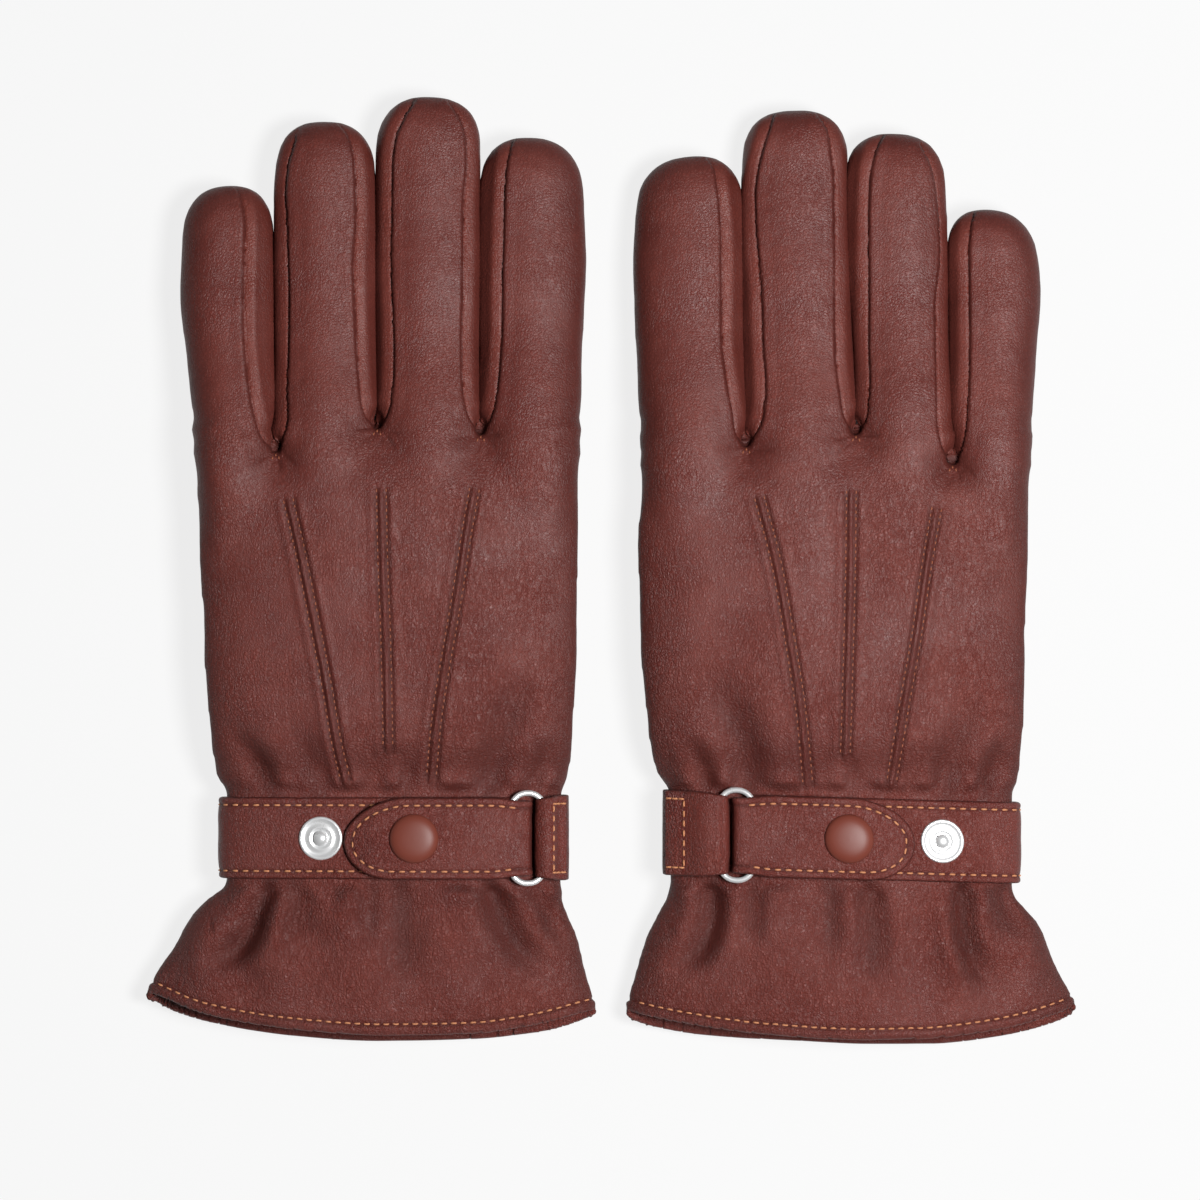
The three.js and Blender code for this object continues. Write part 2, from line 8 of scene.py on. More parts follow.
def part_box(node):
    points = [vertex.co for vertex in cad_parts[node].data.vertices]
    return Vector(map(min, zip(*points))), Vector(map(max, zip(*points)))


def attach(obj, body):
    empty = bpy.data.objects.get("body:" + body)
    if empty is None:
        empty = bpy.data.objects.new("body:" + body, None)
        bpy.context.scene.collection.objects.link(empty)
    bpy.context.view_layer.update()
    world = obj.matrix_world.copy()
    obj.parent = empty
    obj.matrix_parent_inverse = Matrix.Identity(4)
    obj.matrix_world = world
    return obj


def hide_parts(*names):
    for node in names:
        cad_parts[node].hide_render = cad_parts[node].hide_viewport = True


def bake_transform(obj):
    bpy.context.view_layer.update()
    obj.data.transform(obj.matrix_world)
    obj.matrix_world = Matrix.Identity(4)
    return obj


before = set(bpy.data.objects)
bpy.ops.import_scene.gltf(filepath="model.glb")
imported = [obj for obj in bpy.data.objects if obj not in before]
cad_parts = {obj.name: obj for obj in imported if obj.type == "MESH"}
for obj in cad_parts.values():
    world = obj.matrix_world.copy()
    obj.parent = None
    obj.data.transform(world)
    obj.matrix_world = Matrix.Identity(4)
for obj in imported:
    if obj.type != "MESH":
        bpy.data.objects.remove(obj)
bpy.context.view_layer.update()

# Lengths are millimetres in a glove's own frame, where x runs from the middle of the wrist towards the
# index finger and y towards the fingertips. Glove.place() takes them to the row frame, in metres.
MM = 0.001

# The skin's voxels, how near a line its points are moved onto it, and the steps of a strap's path.
VOXEL, SNAP_REACH, PATH_STEP = ((1.1, 0.3, 0.45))


# ---------------------------------------------------------------- driving dimensions

# How high the glove lies: (y, underside, top).
LIE = [(-140, 0, 18.5), (-118, 0, 20), (-104, 0.3, 20.6), (-89, 3, 21), (-75, 3, 21), (-61, 3, 21.2),
       (-46, 8, 26), (-20, 9.3, 27.4), (22, 9.3, 27), (45, 6.2, 24.4), (80, 3.5, 20.8), (134, 2, 18)]
HAND_END = 38
TIP_LENGTH = 15

# Bands of y, each as where it starts, is full, starts to end and has ended.
WRIST_BAND, STRAP_BAND = (-92, -87, -63, -57), (-91, -87, -63, -59)
SMOOTHED_WRIST, SMOOTHED_KNUCKLES = (-104, -96, -56, -46), (2, 20, 36, 50)

# The powers of the superellipses: 2 is an ellipse, and a larger one is squarer.
WRIST_POWER, HAND_POWER, FINGER_POWER, TIP_POWER, THUMB_POWER = 2.7, 2.12, 2.2, 2.6, 2.6

# The wrist's section under the strap, and the folded thumb's middle line, half width and top.
WRIST_Z, WRIST_HALF_HEIGHT = 12, 9
THUMB_FROM, THUMB_TO, THUMB_HALF, THUMB_TOP = (27, -44), (14, 18), 12, 9

# The fingers are spread while the skin is made, from a little before each crotch on. At the crotch they
# are left a gap, and beyond it they are pressed into each other.
SPREAD, SPREAD_START, SPREAD_FULL = 3.2, -2.5, 4.5
CROTCH_GAP, FINGER_PRESS = 0.3, 1.5

# Stitches: how far they run from an edge or a point's ridge, and from one to the next.
POINT_STITCH, POINT_PITCH = 1.35, 1.85
HEM_STITCH, HEM_PITCH, HEM_ROLL = 2.5, 2.7, 0.95
STITCH_INSET, STRAP_PITCH = 2.2, 2.95
STRAP_STITCH, STRAP_THREAD = 2.1, 0.3
SEAM_PITCH = 1.45

# The strap, and how high its layers and the ring run over the wrist's section.
STRAP_MIDDLE, STRAP_WIDTH, STRAP_THICK, STRAP_DOME = -75, 22.8, 1.5, 0.28
TAB_RISE, TAB_END_RISE, KEEPER_RISE, KEEPER_SEWN_DOWN, RING_RISE = 4.2, 2.35, 4.8, 2.1, 2.95
FOLD_RADIUS = 1.25

# The ring's half length, bar offset, corner and wire radius, and where its leathers give way to it.
RING_HALF, RING_BAR, RING_CORNER, RING_WIRE = 12.6, 4.8, 4.6, 0.8
TAB_BEYOND, TAB_NARROW, TAB_LEAN = 3.3, 0.8, 1.0
KEEPER_HALF, KEEPER_SEWN, KEEPER_INSET = 11.9, 6.2, 2.3

# Where the strap and the keeper end round the wrist's section, in degrees from the index finger's side.
STRAP_FROM, KEEPER_FROM, KEEPER_TO = 222, -42, 14

# The tab's round end: the length of its lower and of its upper side, and the upper side's power. Then
# two distances back from the ring's bar, for the places that the tab's pieces are given as bend, and where
# its stitches stop before its end.
TAB_ROUND, TAB_DRAWN, TAB_DRAWN_POWER = 15.5, 19.0, 2.1
TAB_BEND, TAB_UNSTITCHED = (0.5, 7.5), 4.2


# ---------------------------------------------------------------- the two gloves

# Silhouette: (y, little finger side, index finger side). Fingers: (y, middle line, half width).
LEFT = {
    "side": 1,
    "outline": [(-140, -80, 62), (-126, -73, 58), (-117, -69.4, 55.4), (-112.7, -67.4, 54.2),
                (-103.7, -61.3, 51.6), (-94.8, -54.4, 48.2), (-90, -49.4, 46.6), (-87, -47.3, 47),
                (-63, -47.3, 47.3), (-58.9, -49.4, 49), (-53, -50.5, 49.7), (-42, -51.6, 50.4),
                (-31, -52.6, 51.1), (-8.5, -53.9, 51.6), (14, -54.8, 52.1), (36, -56, 52.4)],
    "wrist_half": 47.3,
    # The front layer's cut edge, then the rear layer's: (x, y).
    "hem": [(-71, -117.2), (-68.9, -117.7), (-54.3, -123.3), (-29.1, -127.8), (-3.9, -129.5),
            (21.3, -129.2), (38.1, -127), (56.6, -122.6), (59, -122.2)],
    "rear_hem": [(-71, -118.8), (-68.9, -119.4), (-62.7, -122.8), (-45.9, -127.6), (-29.1, -130.2),
                 (-3.9, -131.7), (21.3, -131.2), (38.1, -129.4), (52.5, -125.6), (55.6, -124.2),
                 (59, -122.8)],
    "fingers": {
        "little": [(20, -44.1, 10.6), (40, -44.9, 11.4), (55, -45.9, 12.2), (75, -46.8, 12.7),
                   (94, -47.1, 12.6), (107.8, -46.9, 12)],
        "ring": [(20, -18.7, 14.2), (40, -18.8, 14.3), (75, -19.3, 14.3), (104, -19.3, 14.1),
                 (114, -19.3, 13.5), (126, -19.7, 12.6)],
        "middle": [(20, 9.9, 14.4), (40, 9.9, 14.4), (75, 9.7, 14.7), (108, 9.8, 14.7), (120, 10, 14.3),
                   (132.6, 10.3, 13.4)],
        "index": [(20, 38.1, 13.7), (43, 38.6, 14.1), (75, 39.1, 14.6), (98, 39.2, 14.7),
                  (109, 39.1, 14.4), (121.4, 38.6, 13.3)],
    },
    "crotches": [(-32.8, 33.5), (-4.5, 40.2), (24.4, 38.5)],
    # The seams beside each crotch, as (y, distance on the lower finger's side, on the upper's side).
    "seams": [
        [(33.5, 0.2, 0.2), (36.5, 3.2, 2.6), (43, 5.4, 4.1), (51, 6.8, 3.9), (73, 8, 4.4), (86, 7.7, 4.4),
         (96, 7.4, 4.2), (104, 8.6, 4.0), (112, 14, 4.4), (120, 22, 6)],
        [(40.2, 0.2, 0.2), (42.5, 3.2, 2.9), (47, 4.4, 4.0), (56, 4.9, 4.6), (68, 5.4, 4.8), (86, 6.1, 4.5),
         (99, 5.3, 4.4), (113, 5.5, 4.7), (121, 7, 5.9), (126, 10.5, 8.2), (133, 16, 12)],
        [(38.5, 0.2, 0.2), (41.8, 2.9, 2.9), (49, 4.8, 4.4), (60, 5.1, 5.3), (90, 5, 6.2), (103, 4.8, 6.5),
         (113, 4, 7), (121.5, 4.4, 8.8), (127, 6.3, 13), (131.5, 9.3, 18)],
    ],
    "points": [[(-29.6, 21.2), (-25.7, 4.3), (-22.1, -13.6), (-18.5, -32.1), (-15.4, -50), (-12.9, -60.6)],
               [(-3.3, 24.2), (-2.8, 2.1), (-2, -19.5), (-1.6, -37.1), (-1.4, -52.2)],
               [(23, 24.2), (20.4, 9.4), (17.9, -7.1), (14.8, -25.1), (12.3, -40.7), (10.4, -60.1)]],
    # Folds as (line, depth, half width): on the cuff, then over the strap.
    "folds": [
        ([(-34.2, -86.9), (-37.0, -93.9), (-40.9, -102.6), (-49.3, -108.5), (-57.7, -107.4)], 2.3, 2.6),
        ([(-27.2, -86.9), (-27.4, -95.9), (-28.6, -106.5)], 1.0, 3.6),
        ([(-5.3, -86.9), (-6.2, -96.7), (-6.7, -107.9)], 1.0, 2.6),
        ([(2.2, -86.9), (2.5, -100.9), (3.4, -120.5)], 1.5, 3.8),
        ([(27.2, -86.9), (31.1, -98.4), (36.7, -106.8), (48.7, -110.5)], 1.9, 2.8),
        ([(39.5, -87.5), (44.2, -98.1), (49.8, -109.9)], 0.7, 2.2),
        ([(-47, -41), (-42.5, -48), (-37.5, -55), (-32.8, -64.5)], 1.2, 2.6),
        ([(-30, -34), (-25, -50), (-21, -64.5)], 0.7, 3.4),
        ([(42, -21), (36, -35), (30.5, -50), (27, -64.5)], 1.1, 3.8),
        ([(45, -44), (41.5, -54), (39.8, -64.5)], 0.8, 2.2),
        ([(4.5, -50.0), (3.9, -57.5), (3.6, -64.5)], 0.6, 1.6),
    ],
    "tilt": 0.0,
    "ring": 37.5,
    "cap": 5.9,
    "stud": -20.2,
    "tab_end": -13.2,
}
RIGHT = {
    "side": -1,
    "outline": [(-140, -74, 66), (-126, -67.3, 61.4), (-119, -65.2, 60.2), (-112.7, -61.6, 58.5),
                (-103.7, -57.3, 55.3), (-94.8, -51.1, 50.8), (-90, -48.2, 48.2), (-87, -48.2, 48.2),
                (-63, -48.4, 48.8), (-58.9, -49.3, 51.4), (-53, -50.1, 53.1), (-42, -50.8, 54.6),
                (-31, -51.3, 55.9), (-8.5, -51.9, 57), (8, -52.3, 57.4), (20, -52.7, 57), (36, -53.3, 56.4)],
    "wrist_half": 48.4,
    "hem": [(-67, -120.9), (-64.8, -121.9), (-55.6, -125.2), (-38.8, -128.9), (-22, -130.6),
            (-5.2, -130.9), (20, -129.5), (45.2, -126.1), (60.1, -122.9), (62, -122.4)],
    "rear_hem": [(-67, -120.6), (-64.8, -123.6), (-60.9, -125.8), (-54.5, -128), (-44.4, -130.3),
                 (-23.9, -132.5), (-7.1, -132.5), (11.6, -131.7), (34.9, -130.3), (49.7, -128),
                 (58.1, -125.6), (62, -123.4)],
    "fingers": {
        "little": [(20, -41.7, 10.4), (42, -42.3, 11.4), (59, -42.7, 12.3), (82, -43, 12.6),
                   (91, -42.6, 12.4), (101.2, -41.6, 11.8)],
        "ring": [(20, -17.2, 13.3), (42, -17.2, 13.4), (61, -16.7, 13.4), (90, -15.6, 14),
                 (110, -15.1, 13.6), (122.5, -14.7, 12.9)],
        "middle": [(20, 11.6, 15.3), (43, 11.8, 15.5), (55, 12.5, 15.6), (85, 13.3, 15),
                   (105, 13.5, 14.8), (117, 13.4, 14.5), (128.9, 13.2, 13.9)],
        "index": [(20, 41.6, 14.7), (43, 42.2, 14.9), (75, 43.1, 15.1), (95, 43.2, 15),
                  (105, 42.9, 14.6), (116.4, 42.2, 13.4)],
    },
    "crotches": [(-30.8, 30.1), (-3.8, 38.5), (26.8, 35.1)],
    "seams": [
        [(30.1, 0.2, 0.2), (34.3, 2.8, 3), (43, 4.1, 4.4), (59, 5, 4), (72, 5.2, 3.9), (88, 5.3, 2.4),
         (96, 6.2, 2.4), (104, 9.5, 2.8), (112, 16, 4), (119, 22, 6.6)],
        [(38.5, 0.2, 0.2), (41.4, 3.1, 2.8), (51, 4, 4.2), (63, 4.1, 4.7), (80, 5.4, 4), (96, 5.8, 3.4),
         (109, 6.3, 3.3), (117, 7.9, 4.3), (122, 10.5, 5), (128, 16, 8.3)],
        [(35.1, 0.2, 0.2), (38, 3.4, 2.6), (43, 5.2, 3.2), (51, 6.1, 4.3), (64, 5.6, 5.3), (76, 5.6, 5.5),
         (96, 4.2, 5.6), (105, 3.8, 6.3), (112, 4.7, 7.4), (118, 6.2, 10.6), (128, 9, 17)],
    ],
    "points": [[(-26.5, 18.9), (-23.1, -0.7), (-20.6, -18.1), (-17.2, -37.4), (-13.3, -62)],
               [(-2.4, 23.7), (-2.1, -0.7), (-1.5, -24.2), (-0.7, -53.9)],
               [(23.7, 21.7), (18.3, 0.7), (15, -18.1), (11.6, -40.2), (9.4, -62)]],
    "folds": [
        ([(36.0, -86.9), (36.3, -96.7), (40.7, -106.8), (52.2, -112.1)], 2.0, 2.6),
        ([(24.5, -87.5), (25.6, -96.7), (27.0, -107.9)], 0.9, 2.8),
        ([(3.2, -87.5), (2.9, -98.1), (3.2, -112.1)], 1.2, 3.0),
        ([(-8.0, -87.5), (-8.5, -102.3), (-9.1, -120.5)], 1.4, 3.4),
        ([(-33.7, -86.4), (-34.0, -96.7), (-37.9, -110.5), (-46.1, -117.7)], 2.3, 2.4),
        ([(-44.4, -88.1), (-47.7, -95.9), (-52.8, -106.5)], 0.8, 2.2),
        ([(44.5, -44), (40, -54), (37, -64.5)], 1.0, 2.2),
        ([(38.5, -22), (33, -37), (27.5, -50), (25, -64.5)], 1.3, 3.8),
        ([(-41, -27), (-36, -41), (-31, -53), (-29.8, -65.9)], 1.0, 3.6),
        ([(-46, -44), (-42.5, -55), (-39.5, -65.9)], 1.1, 2.2),
        ([(-2.4, -51.9), (-2.4, -58.9), (-2.7, -64.5)], 0.6, 1.6),
    ],
    "tilt": 0.03,
    "ring": 29.5,
    "cap": -1.8,
    "stud": -27.9,
    "tab_end": -19.7,
}


# ---------------------------------------------------------------- curves

def spline(table, column):
    """A smooth curve through (y, ..., value, ...) rows, as a function of y. It doesn't overshoot."""
    y, v = (np.array([row[k] for row in table], float) for k in (0, column))
    step = np.diff(y)
    slope = np.diff(v) / step
    product = slope[:-1] * slope[1:]
    same_way = product > 0
    weighted = np.where(same_way, slope[:-1] * step[:-1] + slope[1:] * step[1:], 1)
    tangent = np.zeros(len(y))
    tangent[1:-1] = np.where(same_way, product * (step[:-1] + step[1:]) / weighted, 0)
    tangent[0], tangent[-1] = slope[0], slope[-1]

    def at(query):
        q = np.clip(np.asarray(query, float), y[0], y[-1])
        i = np.clip(np.searchsorted(y, q) - 1, 0, len(y) - 2)
        t = (q - y[i]) / step[i]
        return (v[i] * (2 * t**3 - 3 * t**2 + 1) + tangent[i] * step[i] * (t**3 - 2 * t**2 + t)
                + v[i + 1] * (3 * t**2 - 2 * t**3) + tangent[i + 1] * step[i] * (t**3 - t**2))
    return at


def smoothstep(a, b, x):
    t = np.clip((np.asarray(x, float) - a) / (b - a), 0, 1)
    return t * t * (3 - 2 * t)


def band(x, start, full, ending, end):
    """0 outside the start and the end, and 1 between full and ending."""
    return smoothstep(start, full, x) * (1 - smoothstep(ending, end, x))


def hump(x, middle, width):
    """1 at the middle, and next to nothing at twice the width from it."""
    return np.exp(-((x - middle) / width) ** 2)


def superellipse(half_x, half_z, power, t):
    c, s = np.cos(t), np.sin(t)
    return half_x * np.sign(c) * np.abs(c) ** (2 / power), half_z * np.sign(s) * np.abs(s) ** (2 / power)


def run_along(line):
    """How far along a line in plan each of its points is."""
    return np.concatenate([[0], np.cumsum(np.hypot(*np.diff(line, axis=0).T))])


def even_line(line, pitch):
    """The line through the given points, smoothed and cut into steps of about pitch."""
    line = np.asarray(line, float)
    along = run_along(line)
    table = [(a, *row) for a, row in zip(along, line)]
    q = np.linspace(0, along[-1], max(2, int(round(along[-1] / pitch))) + 1)
    return np.stack([spline(table, k + 1)(q) for k in range(line.shape[1])], 1)


def offset_line(line, away):
    d = np.gradient(line, axis=0)
    d /= np.hypot(d[:, 0], d[:, 1])[:, None]
    return line + np.stack([-d[:, 1], d[:, 0]], 1) * away


def outline_distance(points, line):
    best = np.full(len(points), 1e9)
    for a, b in zip(line[:-1], line[1:]):
        d = b - a
        t = np.clip(((points - a) @ d) / max(d @ d, 1e-12), 0, 1)
        off = points - (a + t[:, None] * d)
        best = np.minimum(best, np.hypot(off[:, 0], off[:, 1]))
    return best


def near_line(points, line, reach):
    """Points within reach of a line in plan: their numbers, distance, place along it and side, and the
    line's length."""
    line = np.asarray(line, float)
    low, high = line.min(0) - reach, line.max(0) + reach
    at = np.nonzero(((points[:, :2] > low) & (points[:, :2] < high)).all(1))[0]
    xy = points[at, :2]
    best, along, side = np.full(len(at), 1e9), np.zeros(len(at)), np.zeros(len(at))
    start = 0.0
    for a, b in zip(line[:-1], line[1:]):
        d = b - a
        length = math.hypot(*d)
        t = np.clip(((xy - a) @ d) / length**2, 0, 1)
        off = xy - (a + t[:, None] * d)
        dist = np.hypot(off[:, 0], off[:, 1])
        closer = dist < best
        best[closer], along[closer] = dist[closer], start + t[closer] * length
        side[closer] = np.sign(d[0] * off[:, 1] - d[1] * off[:, 0])[closer]
        start += length
    near = best < reach
    return at[near], best[near], along[near], side[near], start


def ripple(points, wavelength, seed, stretch=(1, 1, 1)):
    """Soft waves in all directions, of about the given length, from about -1 to 1."""
    rng = np.random.default_rng(seed)
    waves = 9
    total = 0
    for _ in range(waves):
        direction = rng.normal(size=3) * stretch
        direction /= np.linalg.norm(direction)
        turns = 2 * math.pi / (wavelength * rng.uniform(0.7, 1.4))
        total = total + np.sin(points @ direction * turns + rng.uniform(0, 2 * math.pi))
    return total / math.sqrt(waves)


under, over = spline(LIE, 1), spline(LIE, 2)


class Glove:
    """One hand's measures, and the way from its own frame to the row frame."""

    def __init__(self, name, data):
        self.name = name
        self.__dict__.update(data)
        low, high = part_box(name + "_wrist_elastic")
        self.centre = (low.x + high.x) / 2 / MM
        self.shift = (low.y + high.y) / 2 / MM - STRAP_MIDDLE
        self.little_side, self.index_side = spline(self.outline, 1), spline(self.outline, 2)
        self.front_edge, self.rear_edge = spline(self.hem, 1), spline(self.rear_hem, 1)

    def hem_for(self, points):
        """The hem's y at each point: the rear layer is a little longer than the front one."""
        x, y, z = points.T
        rear = 1 - smoothstep(-1.5, 1.5, z - (under(y) + over(y)) / 2)
        return self.front_edge(x) + (self.rear_edge(x) - self.front_edge(x)) * rear

    def wrist(self, t, rise):
        """Points at angles t of the wrist's section, at a height over it, as x, z and the normal."""
        x, z = superellipse(self.wrist_half, WRIST_HALF_HEIGHT, WRIST_POWER, t)
        nx = np.sign(x) * np.abs(x / self.wrist_half) ** (WRIST_POWER - 1) / self.wrist_half
        nz = np.sign(z) * np.abs(z / WRIST_HALF_HEIGHT) ** (WRIST_POWER - 1) / WRIST_HALF_HEIGHT
        size = np.hypot(nx, nz)
        nx, nz = nx / size, nz / size
        return np.stack([x + nx * rise, WRIST_Z + z + nz * rise, nx, nz], -1)

    def angle(self, x, rise):
        """The angle on the wrist's top of the spot that is at x at a height over it."""
        foot = x
        for _ in range(6):
            t = math.acos(math.copysign(abs(foot / self.wrist_half) ** (WRIST_POWER / 2), foot))
            foot = x - self.wrist(np.array(t), 1.0)[2] * rise
        return t

    def seat(self, x, rise):
        """The spot on the strap's middle line at x and a height over the wrist: its place, and the
        directions along the strap and up from it."""
        px, pz, nx, nz = self.wrist(np.array(self.angle(x, rise)), rise)
        return np.array([px, STRAP_MIDDLE, pz]), np.array([nz, 0, -nx]), np.array([nx, 0, nz])

    def ring_bars(self):
        """The ring's two bars as (x, z): the tab's and the keeper's. Then the direction along the strap."""
        place, along, _ = self.seat(self.ring, RING_RISE)
        place, along = place[[0, 2]], along[[0, 2]]
        return place - along * RING_BAR, place + along * RING_BAR, along

    def tilted(self, points):
        """The strap's points, with its slight slant over the wrist."""
        p = np.array(points, float)
        p[..., 1] += self.tilt * p[..., 0]
        return p

    def place(self, points):
        """Points of the glove's frame, in the row frame, in metres."""
        p = np.array(points, float)
        p[..., 0] = self.centre + self.side * p[..., 0]
        p[..., 1] += self.shift
        return p * MM

    def local(self, point):
        """A point of the row frame, in metres, in the glove's frame, in millimetres."""
        x, y, z = (c / MM for c in point)
        return np.array([(x - self.centre) * self.side, y - self.shift, z])


# ---------------------------------------------------------------- mesh tools

def new_object(name, points, faces, smooth=True):
    mesh = bpy.data.meshes.new(name)
    mesh.from_pydata([tuple(p) for p in points], [], [tuple(int(i) for i in f) for f in faces])
    mesh.polygons.foreach_set("use_smooth", [smooth] * len(mesh.polygons))
    mesh.update()
    obj = bpy.data.objects.new(name, mesh)
    bpy.context.scene.collection.objects.link(obj)
    return obj


def quad_object(name, points, quads):
    """The same for quads alone, and fast enough for the skin."""
    mesh = bpy.data.meshes.new(name)
    mesh.vertices.add(len(points))
    mesh.vertices.foreach_set("co", np.asarray(points, np.float32).ravel())
    mesh.loops.add(len(quads) * 4)
    mesh.loops.foreach_set("vertex_index", np.asarray(quads, np.int32).ravel())
    mesh.polygons.add(len(quads))
    mesh.polygons.foreach_set("loop_start", np.arange(len(quads), dtype=np.int32) * 4)
    mesh.polygons.foreach_set("use_smooth", np.full(len(quads), True))
    mesh.update(calc_edges=True)
    obj = bpy.data.objects.new(name, mesh)
    bpy.context.scene.collection.objects.link(obj)
    return obj


def after_modifier(obj, kind, **settings):
    """The object's points and quads after a modifier. The object is thrown away."""
    modifier = obj.modifiers.new(kind, kind)
    for key, value in settings.items():
        setattr(modifier, key, value)
    mesh = obj.evaluated_get(bpy.context.evaluated_depsgraph_get()).to_mesh()
    points = np.zeros(len(mesh.vertices) * 3)
    mesh.vertices.foreach_get("co", points)
    corners = np.zeros(len(mesh.loops), np.int32)
    mesh.loops.foreach_get("vertex_index", corners)
    bpy.data.objects.remove(obj, do_unlink=True)
    return points.reshape(-1, 3), corners.reshape(-1, 4)


def wrapped_quads(rows, columns, closed=False):
    """The quads of a grid whose columns close round on themselves, and its rows too if it is closed."""
    i, k = np.meshgrid(np.arange(rows if closed else rows - 1), np.arange(columns), indexing="ij")
    j, m = (i + 1) % rows, (k + 1) % columns
    corners = [i * columns + k, i * columns + m, j * columns + m, j * columns + k]
    return np.stack(corners, -1).reshape(-1, 4)


def tube(sections, sides):
    """A closed skin over superellipse sections (x, y, z, half_x, half_z, power) in the order of y."""
    t = (np.arange(sides) + 0.5) / sides * 2 * math.pi
    rings = []
    for x, y, z, half_x, half_z, power in sections:
        px, pz = superellipse(half_x, half_z, power, t)
        rings.append(np.stack([x + px, np.full(sides, y), z + pz], 1))
    points = np.concatenate(rings + [np.array([sections[0][:3], sections[-1][:3]])])
    faces = []
    for i in range(len(sections) - 1):
        for k in range(sides):
            a, b = i * sides + k, i * sides + (k + 1) % sides
            faces.append((a, a + sides, b + sides, b))
    start, end = len(points) - 2, len(points) - 1
    last = (len(sections) - 1) * sides
    for k in range(sides):
        faces.append((start, k, (k + 1) % sides))
        faces.append((end, last + (k + 1) % sides, last + k))
    return points, faces


def directed_edges(quads):
    return np.concatenate([quads[:, [a, (a + 1) % 4]] for a in range(4)])


def smoothed(points, pairs, rounds, share):
    """Points moved towards the middle of their neighbours, by a share that may differ by point."""
    a, b = pairs[:, 0], pairs[:, 1]
    count = np.bincount(np.concatenate([a, b]), minlength=len(points)).astype(float)
    count[count == 0] = 1
    for _ in range(rounds):
        total = np.zeros_like(points)
        for axis in range(3):
            total[:, axis] = (np.bincount(a, points[b, axis], len(points))
                              + np.bincount(b, points[a, axis], len(points)))
        points = points + (total / count[:, None] - points) * np.asarray(share).reshape(-1, 1)
    return points


def normals_of(points, quads):
    n = np.cross(points[quads[:, 2]] - points[quads[:, 0]], points[quads[:, 3]] - points[quads[:, 1]])
    total = np.stack([sum(np.bincount(quads[:, k], n[:, axis], len(points)) for k in range(4))
                      for axis in range(3)], 1)
    length = np.linalg.norm(total, axis=1, keepdims=True)
    return total / np.where(length == 0, 1, length)


def piece(name, glove, points, quads, look, slot, stands_for=None, body="glove", bend=None, crease=None):
    """An object that rides on one of the glove's bodies, or, when given bend, is left on no body with its
    placing baked into its mesh.
    """
    used, quads = np.unique(quads, return_inverse=True)
    quads = quads.reshape(-1, 4)
    if glove.side < 0:
        quads = quads[:, ::-1]
    obj = quad_object(glove.name + "_" + name, glove.place(points[used]), quads)
    obj.data.materials.append(LOOKS[look])
    # The painted shade goes with the mesh as a point attribute.
    if crease is not None:
        value = obj.data.attributes.new("crease", "FLOAT", "POINT")
        value.data.foreach_set("value", crease[used].astype(np.float32))
    if bend:
        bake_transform(obj)
    else:
        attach(obj, glove.name + "_" + body)
    if stands_for:
        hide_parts(glove.name + "_" + stands_for)
    return obj


# ---------------------------------------------------------------- the glove's skin

def crevices(glove, y):
    """For each crotch: the crevice's x at y, how far the fingers are spread there while the skin is
    made, and the gap that is left between them."""
    lines = list(glove.fingers.values())
    found = []
    for k, (_, crotch) in enumerate(glove.crotches):
        lower, upper = lines[k], lines[k + 1]
        x = (spline(lower, 1)(y) + spline(lower, 2)(y) + spline(upper, 1)(y) - spline(upper, 2)(y)) / 2
        spread = SPREAD * smoothstep(crotch + SPREAD_START, crotch + SPREAD_FULL, y)
        gap = (CROTCH_GAP * (1 - smoothstep(crotch - 1, crotch + 5, y))
               - FINGER_PRESS * smoothstep(crotch + 3, crotch + 8, y))
        found.append((x, spread, np.minimum(gap, spread)))
    return found


def spread_apart(glove, points):
    p = points.copy()
    for x, spread, _ in crevices(glove, p[:, 1]):
        p[:, 0] += np.sign(points[:, 0] - x) * spread / 2
    return p


def drawn_together(glove, points):
    p = points.copy()
    rows = crevices(glove, p[:, 1])
    for k, (x, spread, gap) in enumerate(rows):
        at = x - sum(r[1] for r in rows[k + 1:]) / 2 + sum(r[1] for r in rows[:k]) / 2
        reach = np.maximum(spread / 2, 0.05)
        p[:, 0] -= np.clip((points[:, 0] - at) / reach, -1, 1) * (spread - gap) / 2
    # Fingers pressed into each other would take the outer ones inwards: the row keeps its width.
    pressed = sum(np.maximum(-r[2], 0) for r in rows)
    little, index = glove.little_side(HAND_END), glove.index_side(HAND_END)
    p[:, 0] += pressed / 2 * np.clip((p[:, 0] - (little + index) / 2) / ((index - little) / 2), -1, 1)
    return p


def finger_sections(line):
    middle, half = spline(line, 1), spline(line, 2)
    straight = line[-1][0] - TIP_LENGTH
    ys = list(np.linspace(-4, straight, 34))
    ys += [straight + TIP_LENGTH * math.sin(math.radians(a))
           for a in (10, 20, 30, 40, 50, 59, 67, 74, 80, 85)]
    sections = []
    for y in ys:
        into_tip = max(0.0, (y - straight) / TIP_LENGTH)
        share = (1 - into_tip**TIP_POWER) ** (1 / TIP_POWER)
        rise = smoothstep(-6, 34, y) * 0.5 + 0.5
        low, high = under(y), over(y)
        sections.append((float(middle(y)), y, (low + high) / 2, float(half(y)) * share * rise**0.4,
                         (high - low) / 2 * share**0.85 * rise, FINGER_POWER))
    return sections


